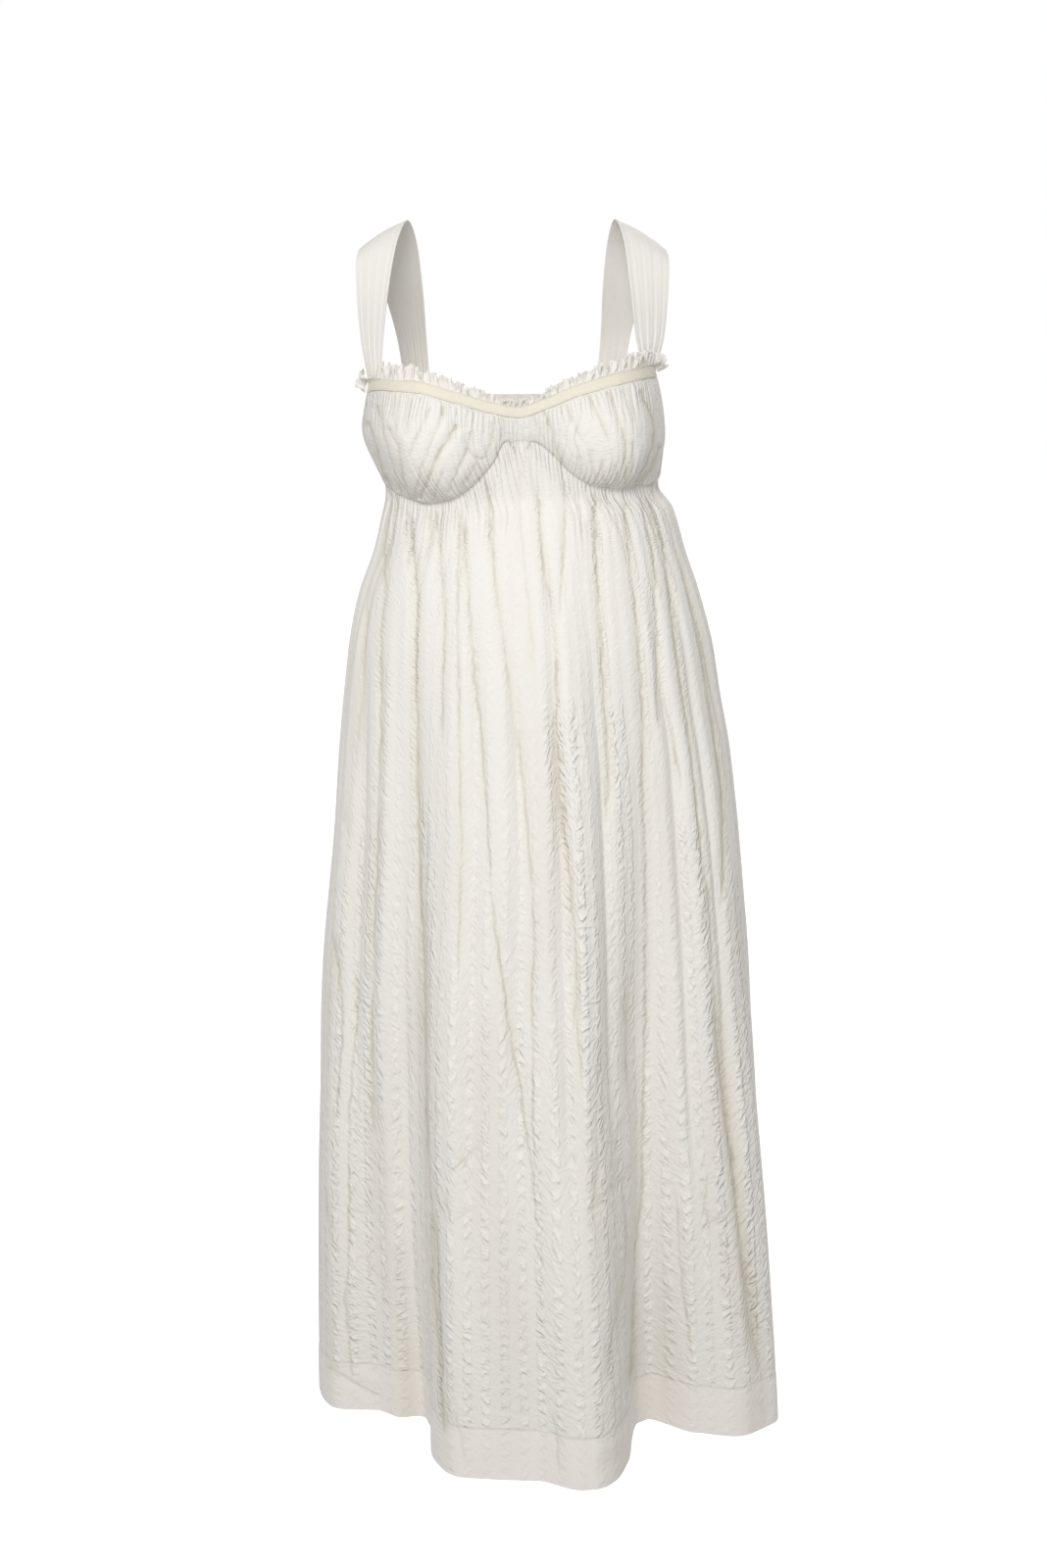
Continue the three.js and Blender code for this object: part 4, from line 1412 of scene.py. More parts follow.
@dataclass
class Strap(ClothPiece):
    """A wide shoulder strap, pleated into the bodice in front and behind."""

    side: float = 1.0
    sections: tuple[tuple[float, ...], ...] = RIGHT_STRAP_SECTIONS
    front_angle: float = 64.5
    front_half: float = 8.0
    front_lift: float = -1.3
    lowest_foot: float = -142.0
    arch: float = 3.0
    back_angle: float = 139.0
    back_half: float = 6.5
    back_lift: float = -1.3
    overlap: float = 7.0
    foot_above: float = 0.45
    pleat: float = 0.6
    pleats: float = 4.0
    rolled_hem: float = 2.0
    hem_height: float = 0.7
    hem_at: float = 1.2
    fine_pleats: float = 2.1
    fine_share: float = 0.7
    crease: float = 0.0
    crease_at: float = 0.66
    crease_width: float = 0.035
    crease_depth: float = 1.6
    steepest: float = 30.0

    @staticmethod
    def ridges(phase: Array) -> Array:
        """Round pleats with sharp valleys, about zero."""
        return 2 * np.abs(np.sin(phase)) ** 0.7 - 1.3

    def foot(self, angle: float, half: float, across: float, above: float, lift: float) -> Array:
        """A point of a foot, at a height above the bodice's edge.

        Args:
            angle: Angle of the foot's middle.
            half: Half its breadth in degrees.
            across: Place across the strap, from -1 to 1.
            above: Height above the edge.
            lift: How far out of the body it lies.

        Returns:
            The point.
        """
        place = np.array(self.side * (angle + across * half))
        edge = FORM.edge(place)
        if angle < SIDE:
            edge = np.maximum(edge, self.lowest_foot)
        return FORM.cloth(place, edge + above, lift)

    def line(self, across: float) -> Array:
        """One line of the strap from foot to foot, at -1 (inner edge) to 1 (outer edge).

        Args:
            across: Place across the strap.

        Returns:
            The points of the line.
        """
        knots = []
        for x, y, z, half, turn, slope in self.sections:
            aside, fall = math.radians(turn), math.radians(slope)
            reach = across * half
            level = reach * math.cos(fall)
            steep = math.sin(fall) / math.sin(math.radians(self.steepest))
            arched = self.arch * (1 - across**2) * steep
            knots.append((self.side * (x + level * math.cos(aside)),
                          y + level * math.sin(aside), z + arched - reach * math.sin(fall)))
        front = [self.foot(self.front_angle, self.front_half, across, above, self.front_lift)
                 for above in (-self.overlap, self.foot_above)]
        back = [self.foot(self.back_angle, self.back_half, -across, above, self.back_lift)
                for above in (self.foot_above, -self.overlap)]
        return smooth_curve(np.array([*front, *knots, *back]), self.rows)

    def shape(self, across: Array, up: Array) -> Array:
        """Points of the outer face in millimetres, for shares across and up the sheet.

        Args:
            across: Shares across the sheet.
            up: Shares up the sheet.

        Returns:
            One point for each place.
        """
        shares = self.side * np.linspace(-1, 1, self.columns + 1)
        lines = np.stack([self.line(share) for share in shares])
        widthways = np.gradient(lines, axis=0)
        onward = np.gradient(lines, axis=1)
        out = np.cross(widthways, onward)
        out /= np.linalg.norm(out, axis=-1, keepdims=True)
        run = np.linspace(0, 1, self.rows + 1)[None, :]
        from_inner = (shares[:, None] + 1) / 2
        swing = 0.2 * np.sin(4.2 * run + 1.1 * self.side) + 0.12 * np.sin(9.0 * run)
        wide = self.ridges(math.pi * (self.pleats * from_inner + swing) + self.side)
        fine = self.ridges(math.pi * (self.fine_pleats * self.pleats * from_inner - swing))
        relief = wide + self.fine_share * fine
        relief -= self.crease_depth * self.crease * bell(from_inner - self.crease_at,
                                                         self.crease_width)
        edges = smooth_step(0.0, 0.12, from_inner) * smooth_step(0.0, 0.1, 1 - from_inner)
        near_feet = 0.12 + 0.88 * np.abs(2 * run - 1) ** 2.6
        held = smooth_step(0.0, 0.05, run) * smooth_step(0.0, 0.05, 1 - run)
        half = np.linalg.norm(lines[-1] - lines[0], axis=-1)[None, :] / 2
        from_edge = (shares[:, None] + 1) * half
        hem = self.hem_height * np.exp(-(((from_edge - self.hem_at) / self.rolled_hem) ** 4))
        lift = self.pleat * relief * edges * near_feet * held + hem * held
        surface = lines + out * lift[..., None]
        column = np.rint(across * self.columns).astype(int)
        row = np.rint(up * self.rows).astype(int)
        return surface[column, row]


@dataclass
class NeckTape(ClothPiece):
    """The flat woven tape along the neck edge, just under the frill."""

    reach: float = 69.2
    lift: float = 1.3
    ripples: tuple[Wave, ...] = ((0.12, 4.1, 0.0), (0.1, 2.3, 1.0))

    def shape(self, across: Array, up: Array) -> Array:
        """Points of the outer face in millimetres, for shares across and up the sheet.

        Args:
            across: Shares across the sheet.
            up: Shares up the sheet.

        Returns:
            One point for each place.
        """
        angle = self.reach * (2 * across - 1)
        z = FORM.edge(angle) - TAPE_WIDTH * (1 - up)
        arc = np.interp(angle, *NECK_ARC)
        return FORM.cloth(angle, z, self.lift + waves(arc, self.ripples))


@dataclass
class NeckFrill(ClothPiece):
    """The narrow gathered frill that stands on the neck edge, bunched at both ends."""

    reach: float = 74.0
    loop: float = 6.8
    clearance: float = 0.45
    base_lift: float = 1.7
    flare: float = 2.2
    in_and_out: float = 2.3
    sideways: float = 2.0
    crumple: float = 1.1
    curl: float = 0.14
    slant: float = 0.9
    drifts: tuple[Wave, ...] = ((0.6, 21.0, 0.0), (0.45, 9.7, 2.0), (0.3, 4.3, 0.0))
    drift_share: float = 0.45
    unevenness: tuple[Wave, ...] = ((0.35, 6.3, 1.0), (0.2, 14.9, 0.0))
    least_even: float = 0.75
    bunch_from: float = 60.0
    bunch_full: float = 68.0
    bunch_out: float = 6.0
    bunch_drop: float = 4.0
    left_floor: float = -150.0
    right_floor: float = -130.0
    strap_gap: tuple[float, float] = (-67.5, -59.0)

    def height(self, angle: Array) -> Array:
        """How tall the frill stands: lowest in front, and low behind the left strap's foot.

        Args:
            angle: Angles round the body.

        Returns:
            The height at each angle.
        """
        away = np.abs(angle - SEAM_CENTRE)
        tall = 5.6 + 3.2 * smooth_step(4.0, 20.0, away) + 4.2 * smooth_step(20.0, 46.0, away)
        first, last = self.strap_gap
        behind = smooth_step(first - 2, first, angle) * (1 - smooth_step(last, last + 2, angle))
        return tall * (1 - 0.7 * behind)

    def shape(self, across: Array, up: Array) -> Array:
        """Points of the outer face in millimetres, for shares across and up the sheet.

        Args:
            across: Shares across the sheet.
            up: Shares up the sheet.

        Returns:
            One point for each place.
        """
        plain = self.reach * (2 * across - 1)
        arc = np.interp(plain, *NECK_ARC)
        drift = self.drift_share * waves(arc, self.drifts)
        phase = WAVE * (arc / self.loop + drift) + self.slant * up * np.sin(arc / 17)
        grown = up**0.7
        uneven = self.least_even + waves(arc, self.unevenness)
        swing = self.sideways * grown * (np.sin(2 * phase) + 0.7 * np.sin(phase / 3 + 1))
        ends = smooth_step(self.bunch_from, self.bunch_full, np.abs(plain))
        swing += 1.6 * ends * up * np.sin(0.61 * phase)
        angle = plain + swing * uneven / FORM.pace(plain, FORM.edge(plain))
        lift = self.base_lift + self.flare * up + self.bunch_out * ends * np.sin(2.4 * up)
        lift += self.in_and_out * (1 + 0.5 * ends) * grown * uneven * np.sin(phase)
        lift += self.crumple * grown * np.sin(2.7 * phase + 1.3 + 2.2 * up)
        lift += 1.2 * up**2 * (0.5 + 0.5 * np.sin(0.37 * phase))
        ragged = 1 + 0.09 * np.sin(arc / 5.3) + 0.13 * np.sin(phase * 0.5 + 1)
        ragged += 0.05 * np.sin(1.7 * phase) - self.curl * np.sin(phase)
        tall = self.height(plain) * ragged * (1 - 0.15 * ends)
        sunk = self.bunch_drop * ends * (0.5 + 0.5 * np.sin(0.8 * phase))
        floor = np.where(plain > 0, self.right_floor, self.left_floor)
        edge = FORM.edge(plain)
        bunched = np.abs(plain) > self.bunch_from
        edge = np.where(bunched, np.maximum(edge, floor), edge)
        z = edge + self.clearance + tall * up - sunk * up
        return FORM.cloth(angle, z, np.maximum(lift, self.base_lift))


def linear(red: float, green: float, blue: float) -> tuple[float, float, float, float]:
    """A colour for the shader, from the values of 0 to 255 that a screen shows.

    Args:
        red: The red part.
        green: The green part.
        blue: The blue part.

    Returns:
        The opaque colour.
    """
    parts = [part / 255 for part in (red, green, blue)]
    parts = [((part + 0.055) / 1.055) ** 2.4 if part > 0.04 else part / 12.92 for part in parts]
    return parts[0], parts[1], parts[2], 1.0


Source = bpy.types.NodeSocket | float | tuple[float, ...]
Sockets = bpy.types.bpy_prop_collection
Groups = dict[str, bpy.types.NodeTree]


class Graph:
    """Adds the nodes of one material or group and joins them."""

    def __init__(self, tree: bpy.types.NodeTree) -> None:
        """Starts on an empty tree."""
        self.tree = tree
        self.tree.nodes.clear()

    def node(self, kind: str, **settings: object) -> bpy.types.Node:
        """Adds a node and sets it up.

        Args:
            kind: The node's type.
            settings: Its fields by name.

        Returns:
            The node.
        """
        made = self.tree.nodes.new(kind)
        for name, value in settings.items():
            setattr(made, name, value)
        return made

    def feed(self, socket: bpy.types.NodeSocket, source: Source) -> None:
        """Joins a source to a socket, or sets the socket to a value.

        Args:
            socket: The socket.
            source: Another socket, or a value.
        """
        if isinstance(source, bpy.types.NodeSocket):
            self.tree.links.new(source, socket)
        else:
            socket.default_value = source

    def sum_of(self, operation: str, *sources: Source) -> bpy.types.NodeSocket:
        """The result of one sum on up to three sources.

        Args:
            operation: The kind of sum.
            sources: What it works on.

        Returns:
            The result.
        """
        made = self.node("ShaderNodeMath", operation=operation)
        for socket, source in zip(made.inputs, sources):
            self.feed(socket, source)
        return made.outputs[0]

    def ramp(self, source: Source, low: float, high: float) -> bpy.types.NodeSocket:
        """A soft step of a source, from 0 at low to 1 at high.

        Args:
            source: The source.
            low: Where the step starts.
            high: Where it ends.

        Returns:
            The step.
        """
        made = self.node("ShaderNodeMapRange", interpolation_type="SMOOTHSTEP")
        for name, value in (("Value", source), ("From Min", low), ("From Max", high)):
            self.feed(made.inputs[name], value)
        return made.outputs[0]

    def stretched(self, place: Source, turn: float, sizes: tuple[float, float, float]) -> Source:
        """The place turned by degrees, then measured in steps of the given sizes.

        Args:
            place: The place.
            turn: The degrees.
            sizes: The length of a step each way.

        Returns:
            The changed place.
        """
        turned = self.node("ShaderNodeMapping", vector_type="TEXTURE")
        self.feed(turned.inputs["Vector"], place)
        turned.inputs["Rotation"].default_value = (0.0, 0.0, math.radians(turn))
        turned.inputs["Scale"].default_value = sizes
        return turned.outputs[0]

    def noise(self, place: Source, detail: float = 1.0) -> bpy.types.NodeSocket:
        """Soft noise from 0 to 1, one bump in each step of the place.

        Args:
            place: The place.
            detail: How much finer noise lies over it.

        Returns:
            The noise.
        """
        made = self.node("ShaderNodeTexNoise", noise_dimensions="3D")
        self.feed(made.inputs["Vector"], place)
        made.inputs["Scale"].default_value = 1.0
        made.inputs["Detail"].default_value = detail
        return made.outputs[0]

    def mix(self, share: Source, first: Source, second: Source) -> bpy.types.NodeSocket:
        """A colour between two, by a share.

        Args:
            share: The share of the second.
            first: One colour.
            second: The other.

        Returns:
            The colour.
        """
        made = self.node("ShaderNodeMix", data_type="RGBA")
        for socket, source in ((made.inputs[0], share), (made.inputs[6], first),
                               (made.inputs[7], second)):
            self.feed(socket, source)
        return made.outputs[2]

    def rest_of(self, share: Source) -> bpy.types.NodeSocket:
        """What is left of one after a share."""
        return self.sum_of("SUBTRACT", 1.0, share)

    def read(self, name: str, part: str = "Fac") -> bpy.types.NodeSocket:
        """A value that the cloth carries under a name."""
        return self.node("ShaderNodeAttribute", attribute_name=name).outputs[part]

    def call(self, group: bpy.types.NodeTree, **inputs: Source) -> bpy.types.Node:
        """Places a group and feeds its inputs.

        Args:
            group: The group.
            inputs: What feeds each input, by name.

        Returns:
            The group's node.
        """
        made = self.node("ShaderNodeGroup", node_tree=group)
        for name, source in inputs.items():
            self.feed(made.inputs[name.capitalize()], source)
        return made


SOCKETS = {"float": "NodeSocketFloat", "vector": "NodeSocketVector", "colour": "NodeSocketColor"}


def new_group(name: str, inputs: dict[str, str],
              outputs: dict[str, str]) -> tuple[Graph, Sockets, Sockets]:
    """Starts a group with named inputs and outputs.

    Args:
        name: The group's name.
        inputs: The kind of each input.
        outputs: The kind of each output.

    Returns:
        The group's graph, its input sockets by name and its output sockets by name.
    """
    tree = bpy.data.node_groups.new(name, "ShaderNodeTree")
    for names, way in ((inputs, "INPUT"), (outputs, "OUTPUT")):
        for label, kind in names.items():
            tree.interface.new_socket(label, in_out=way, socket_type=SOCKETS[kind])
    graph = Graph(tree)
    given = graph.node("NodeGroupInput").outputs
    wanted = graph.node("NodeGroupOutput").inputs
    return graph, given, wanted


@dataclass(frozen=True)
class SharedEffects:
    """The effects that several finishes share. Lengths are in metres, heights in millimetres."""

    stripe_edge: tuple[float, float] = (-0.35, 0.65)
    puff_edge: tuple[float, float] = (-0.9, 0.9)
    highlight_patch: tuple[float, float] = (0.35, 0.6)
    pucker_down: float = 0.0135
    pucker_drift: tuple[float, float, float] = (0.015, 0.07, 1.0)
    pucker_sway: float = 16.0
    pucker_grain: tuple[float, float, float] = (0.006, 0.007, 1.0)
    thread_pitch: float = 0.0024
    thread_depth: float = 0.015
    crinkle_turn: float = 57.0
    crinkle_lean: float = 0.5
    crinkle_share: float = 0.6
    crinkle_sharpness: float = 3.0
    crinkle_size: tuple[float, float, float] = (0.0066, 0.015, 1.0)
    gather_sets: tuple[tuple[float, float, float], ...] = ((7.3, 90.0, 0.4), (4.1, 50.0, 3.1))
    gather_drift: float = 21.0
    gather_run: float = 70.0
    gather_sway: float = 3.2
    gather_roundness: float = 0.6
    gather_fade: tuple[float, float] = (-0.3, 0.25)
    line_patch: tuple[float, float, float] = (0.03, 0.05, 1.0)
    line_patch_edge: tuple[float, float] = (0.25, 0.6)
    line_swing: tuple[float, float, float] = (0.02, 0.016, 1.0)
    line_wander: float = 7.0
    mottle_edge: tuple[float, float] = (0.3, 0.7)

    def puckered_stripe(self) -> bpy.types.NodeTree:
        """Lengthwise stripes whose cloth is puckered, with fine threads along them.

        Returns:
            The group.
        """
        graph, given, wanted = new_group(
            "puckered_stripe", {"Place": "vector", "Spacing": "float", "Pucker": "float"},
            {"Height": "float", "Stripe": "float", "Painted_highlight": "float"})
        parts = graph.node("ShaderNodeSeparateXYZ")
        graph.feed(parts.inputs[0], given["Place"])
        across, up = parts.outputs[:2]
        turn = graph.sum_of("DIVIDE", graph.sum_of("MULTIPLY", across, WAVE), given["Spacing"])
        stripe = graph.ramp(graph.sum_of("COSINE", turn), *self.stripe_edge)
        drift = graph.noise(graph.stretched(given["Place"], 0.0, self.pucker_drift), 1.0)
        beat = graph.sum_of("MULTIPLY_ADD", drift, self.pucker_sway,
                            graph.sum_of("MULTIPLY", up, WAVE / self.pucker_down))
        puff = graph.ramp(graph.sum_of("COSINE", beat), *self.puff_edge)
        patchy = graph.ramp(drift, *self.highlight_patch)
        rough = graph.noise(graph.stretched(given["Place"], 0.0, self.pucker_grain), 2.0)
        uneven = graph.sum_of("SUBTRACT", graph.sum_of("ADD", puff, rough), 1.0)
        raised = graph.sum_of("MULTIPLY", graph.sum_of("MULTIPLY", uneven, stripe), given["Pucker"])
        thread = graph.sum_of("SINE", graph.sum_of("MULTIPLY", across, WAVE / self.thread_pitch))
        graph.feed(wanted["Height"],
                   graph.sum_of("MULTIPLY_ADD", thread, self.thread_depth, raised))
        graph.feed(wanted["Stripe"], stripe)
        # Painted highlight: a mask of the puckers' crests, which the finish paints lighter.
        graph.feed(wanted["Painted_highlight"], graph.sum_of("MULTIPLY", graph.sum_of("MULTIPLY", puff, stripe),
                                                patchy))
        return graph.tree

    def crinkles(self) -> bpy.types.NodeTree:
        """Short sharp wrinkles that cross each other, as in washed cotton.

        Returns:
            The group.
        """
        graph, given, wanted = new_group(
            "crinkles", {"Place": "vector", "Amount": "float", "Slant": "float"},
            {"Height": "float"})
        total: Source = 0.0
        for turn, lean in ((self.crinkle_turn, -self.crinkle_lean),
                           (-self.crinkle_turn, self.crinkle_lean)):
            share = graph.sum_of("MULTIPLY_ADD", given["Slant"], lean, self.crinkle_share)
            soft = graph.noise(graph.stretched(given["Place"], turn, self.crinkle_size), 1.0)
            away = graph.sum_of("ABSOLUTE", graph.sum_of("MULTIPLY_ADD", soft, 2.0, -1.0))
            ridge = graph.sum_of("POWER", graph.rest_of(away), self.crinkle_sharpness)
            total = graph.sum_of("MULTIPLY_ADD", ridge, share, total)
        graph.feed(wanted["Height"], graph.sum_of("MULTIPLY", total, given["Amount"]))
        return graph.tree

    def thin_lines(self) -> bpy.types.NodeTree:
        """Thin sharp lines where a channel's distance passes through zero.

        Returns:
            The group.
        """
        graph, given, wanted = new_group(
            "thin_lines", {"Place": "vector", "Lines": "vector", "Strengths": "vector",
                           "Width": "float"}, {"Line": "float"})
        patches = graph.noise(graph.stretched(given["Place"], 0.0, self.line_patch), 2.0)
        uneven = graph.ramp(patches, *self.line_patch_edge)
        parts = graph.node("ShaderNodeSeparateXYZ")
        graph.feed(parts.inputs[0], given["Lines"])
        shares = graph.node("ShaderNodeSeparateXYZ")
        graph.feed(shares.inputs[0], given["Strengths"])
        swing = graph.noise(graph.stretched(given["Place"], 0.0, self.line_swing), 2.0)
        total: Source = 0.0
        for part, share in zip(parts.outputs, shares.outputs):
            middle = graph.sum_of("MULTIPLY_ADD", graph.sum_of("SUBTRACT", swing, 0.5),
                                  self.line_wander, part)
            away = graph.sum_of("DIVIDE", graph.sum_of("ABSOLUTE", middle), given["Width"])
            near = graph.rest_of(graph.ramp(away, 0.0, 1.0))
            total = graph.sum_of("MAXIMUM", graph.sum_of("MULTIPLY", near, share), total)
        graph.feed(wanted["Line"], graph.sum_of("MULTIPLY", total, uneven))
        return graph.tree

    def fine_gathers(self) -> bpy.types.NodeTree:
        """Uneven narrow gathers that run away from a seam. All lengths are in millimetres.

        Returns:
            The group.
        """
        graph, given, wanted = new_group(
            "fine_gathers", {"Along": "float", "Away": "float", "Amount": "float"},
            {"Height": "float"})
        total: Source = 0.0
        for pitch, length, shift in self.gather_sets:
            place = graph.node("ShaderNodeCombineXYZ")
            graph.feed(place.inputs[0], graph.sum_of("DIVIDE", given["Along"], self.gather_drift))
            graph.feed(place.inputs[1], graph.sum_of("DIVIDE", given["Away"], self.gather_run))
            place.inputs[2].default_value = shift
            drift = graph.sum_of("MULTIPLY", graph.noise(place.outputs[0], 1.0), self.gather_sway)
            turn = graph.sum_of("ADD", graph.sum_of("DIVIDE", given["Along"], pitch), drift)
            wave = graph.sum_of("SINE", graph.sum_of("MULTIPLY", turn, math.pi))
            ridge = graph.sum_of("POWER", graph.sum_of("ABSOLUTE", wave), self.gather_roundness)
            uneven = graph.sum_of("MULTIPLY", graph.noise(place.outputs[0], 0.0), length)
            past = graph.sum_of("SUBTRACT", given["Away"], uneven)
            first, last = self.gather_fade
            dying = graph.rest_of(graph.ramp(past, first * length, last * length))
            total = graph.sum_of("MULTIPLY_ADD", ridge, dying, total)
        graph.feed(wanted["Height"], graph.sum_of("MULTIPLY", total, given["Amount"]))
        return graph.tree

    def plain_threads(self) -> bpy.types.NodeTree:
        """Threads that cross each other in a plain weave.

        Returns:
            The group.
        """
        graph, given, wanted = new_group(
            "plain_threads", {"Place": "vector", "Pitch": "float", "Depth": "float"},
            {"Height": "float"})
        parts = graph.node("ShaderNodeSeparateXYZ")
        graph.feed(parts.inputs[0], given["Place"])
        total: Source = 0.0
        for part in parts.outputs[:2]:
            turn = graph.sum_of("DIVIDE", graph.sum_of("MULTIPLY", part, WAVE), given["Pitch"])
            total = graph.sum_of("ADD", graph.sum_of("SINE", turn), total)
        graph.feed(wanted["Height"], graph.sum_of("MULTIPLY", total, given["Depth"]))
        return graph.tree

    def mottle(self) -> bpy.types.NodeTree:
        """A colour that drifts a little between a cool and a warm one.

        Returns:
            The group.
        """
        graph, given, wanted = new_group(
            "mottle", {"Place": "vector", "Size": "float", "Cool": "colour", "Warm": "colour"},
            {"Colour": "colour"})
        scaled = graph.node("ShaderNodeVectorMath", operation="SCALE")
        graph.feed(scaled.inputs[0], given["Place"])
        graph.feed(scaled.inputs["Scale"], graph.sum_of("DIVIDE", 1.0, given["Size"]))
        share = graph.ramp(graph.noise(scaled.outputs[0], 2.0), *self.mottle_edge)
        graph.feed(wanted["Colour"], graph.mix(share, given["Cool"], given["Warm"]))
        return graph.tree


class Weave(Enum):
    """How a cloth is woven."""

    PUCKERED = "puckered stripes"
    PLAIN = "plain weave"
    RIBBED = "ribbed tape"


@dataclass(frozen=True)
class ClothFinish:
    """The look of one cloth: its colours, its weave and how it takes the light."""

    name: str
    weave: Weave
    cool: tuple[float, float, float]
    warm: tuple[float, float, float]
    hem: tuple[float, float, float]
    crinkle: float = 1.1
    # Painted shade: how dark the hollows and the creases' lines are painted, and how much warmer.
    shade: float = 0.95
    line_shade: float = 0.88
    tint: tuple[float, float, float] = (1.0, 0.985, 0.95)
    line_width: float = 2.5
    line_depth: float = 0.5
    gather_height: float = 0.85
    roughness: float = 0.88
    sheen: float = 0.12
    stripe_spacing: float = 0.019
    puckered_from: tuple[float, float] = (150.0, 800.0)
    least_puckered: float = 0.15
    between_stripes: float = 0.5
    hem_calm: float = 0.6
    hem_soft: tuple[float, float] = (-1.2, 1.2)
    hem_edge: tuple[float, float] = (0.3, 2.4)
    hem_edge_depth: float = 0.4
    # Painted shadow: how dark the line along the hem's upper edge is painted.
    hem_edge_shade: float = 0.3
    # Painted highlight: how much lighter the puckers' crests are painted.
    painted_highlight_gain: float = 1.035
    pucker: float = 0.75
    thread_pitch: float = 0.0007
    thread_depth: float = 0.012
    rib_pitch: float = 0.0011
    rib_depth: float = 0.09
    stitch_from_edge: float = 0.001
    stitch_length: float = 0.0022
    stitch_beat: tuple[float, float] = (-0.6, -0.1)
    stitch_edge: tuple[float, float] = (0.0002, 0.0006)
    stitch_depth: float = 0.25
    mottle_size: float = 0.06
    specular: float = 0.25
    sheen_roughness: float = 0.5
    tape_width: float = 0.010

    def threads(self, graph: Graph, groups: Groups, place: Source, hem: Source,
                away: Source) -> tuple[Source, Source, Source]:
        """The weave.

        Args:
            graph: The material's graph.
            groups: The shared effects by name.
            place: Places on the flat cloth.
            hem: How much of the turned-up hem is at each place.
            away: Distances from the seam.

        Returns:
            Its height in millimetres, how strongly it crinkles, and how much painted highlight its
            puffs get.
        """
        if self.weave is Weave.PUCKERED:
            woven = graph.call(groups["puckered_stripe"], place=place,
                               spacing=self.stripe_spacing, pucker=self.pucker)
            calm = graph.sum_of("MULTIPLY_ADD", hem, -self.hem_calm, 1.0)
            below = graph.ramp(away, *self.puckered_from)
            grown = graph.sum_of("MULTIPLY_ADD", below, 1 - self.least_puckered,
                                 self.least_puckered)
            calm = graph.sum_of("MULTIPLY", calm, grown)
            creased = graph.sum_of("MULTIPLY_ADD", woven.outputs["Stripe"],
                                   1 - self.between_stripes, self.between_stripes)
            return (graph.sum_of("MULTIPLY", woven.outputs["Height"], calm), creased,
                    graph.sum_of("MULTIPLY", woven.outputs["Painted_highlight"], calm))
        if self.weave is Weave.PLAIN:
            woven = graph.call(groups["plain_threads"], place=place, pitch=self.thread_pitch,
                               depth=self.thread_depth)
            return woven.outputs["Height"], 1.0, 0.0
        return self.tape(graph, place), 0.0, 0.0

    def tape(self, graph: Graph, place: Source) -> Source:
        """Height of the tape's cross ribs and of the stitches along both edges.

        Args:
            graph: The material's graph.
            place: Places on the flat cloth.

        Returns:
            The height in millimetres.
        """
        parts = graph.node("ShaderNodeSeparateXYZ")
        graph.feed(parts.inputs[0], place)
        along, up = parts.outputs[:2]
        ribs = graph.sum_of("SINE", graph.sum_of("MULTIPLY", along, WAVE / self.rib_pitch))
        height = graph.sum_of("MULTIPLY", ribs, self.rib_depth)
        beat = graph.sum_of("SINE", graph.sum_of("MULTIPLY", along, WAVE / self.stitch_length))
        stitched = graph.ramp(beat, *self.stitch_beat)
        for line in (self.stitch_from_edge, self.tape_width - self.stitch_from_edge):
            away = graph.sum_of("ABSOLUTE", graph.sum_of("SUBTRACT", up, line))
            near = graph.rest_of(graph.ramp(away, *self.stitch_edge))
            dent = graph.sum_of("MULTIPLY", graph.sum_of("MULTIPLY", near, stitched),
                                -self.stitch_depth)
            height = graph.sum_of("ADD", dent, height)
        return height

    def wrinkles(self, graph: Graph, groups: Groups, place: Source, creased: Source) -> Source:
        """The fine crinkles.

        Args:
            graph: The material's graph.
            groups: The shared effects by name.
            place: Places on the flat cloth.
            creased: How strongly the weave crinkles at each place.

        Returns:
            Their height in millimetres.
        """
        strong = graph.sum_of("MULTIPLY", graph.read("crinkle"), creased)
        amount = graph.sum_of("MULTIPLY", strong, self.crinkle)
        made = graph.call(groups["crinkles"], place=place, amount=amount,
                          slant=graph.read("slant"))
        return made.outputs["Height"]

    def folds(self, graph: Graph, groups: Groups, away: Source, line: Source, hem: Source,
              edge: Source) -> Source:
        """The small gathers, the sharp lines of the creases and the step of the hem.

        Args:
            graph: The material's graph.
            groups: The shared effects by name.
            away: Distances from the seam.
            line: How much of a sharp line is at each place.
            hem: How much of the turned-up hem is there.
            edge: How much of the hem's upper edge is there.

        Returns:
            Their height in millimetres.
        """
        amount = graph.sum_of("MULTIPLY", graph.read("gathered"), self.gather_height)
        gathers = graph.call(groups["fine_gathers"], along=graph.read("along_seam"), away=away,
                             amount=amount)
        height: Source = gathers.outputs["Height"]
        for share, depth in ((line, -self.line_depth), (edge, -self.hem_edge_depth),
                             (hem, self.hem_edge_depth)):
            height = graph.sum_of("MULTIPLY_ADD", share, depth, height)
        return height

    def shaded(self, shade: float) -> tuple[float, float, float, float]:
        """The colour of the painted shade: the warm colour, darker by a shade and a little warmer.
        """
        return linear(*[part * shade * tint for part, tint in zip(self.warm, self.tint)])

    def colour(self, graph: Graph, groups: Groups, puff: Source, line: Source, hem: Source,
               edge: Source) -> Source:
        """The colour, with painted shade, warmer and darker, in the creases and hollows, and painted
        highlights on the puckers.

        Args:
            graph: The material's graph.
            groups: The shared effects by name.
            puff: How much painted highlight a pucker's crest gets at each place.
            line: How much of a sharp line is there.
            hem: How much of the turned-up hem is there.
            edge: How much of the painted shadow along the hem's upper edge is there.

        Returns:
            The colour at each place.
        """
        solid = graph.node("ShaderNodeTexCoord").outputs["Object"]
        mottled = graph.call(groups["mottle"], place=solid, size=self.mottle_size,
                             cool=linear(*self.cool), warm=linear(*self.warm))
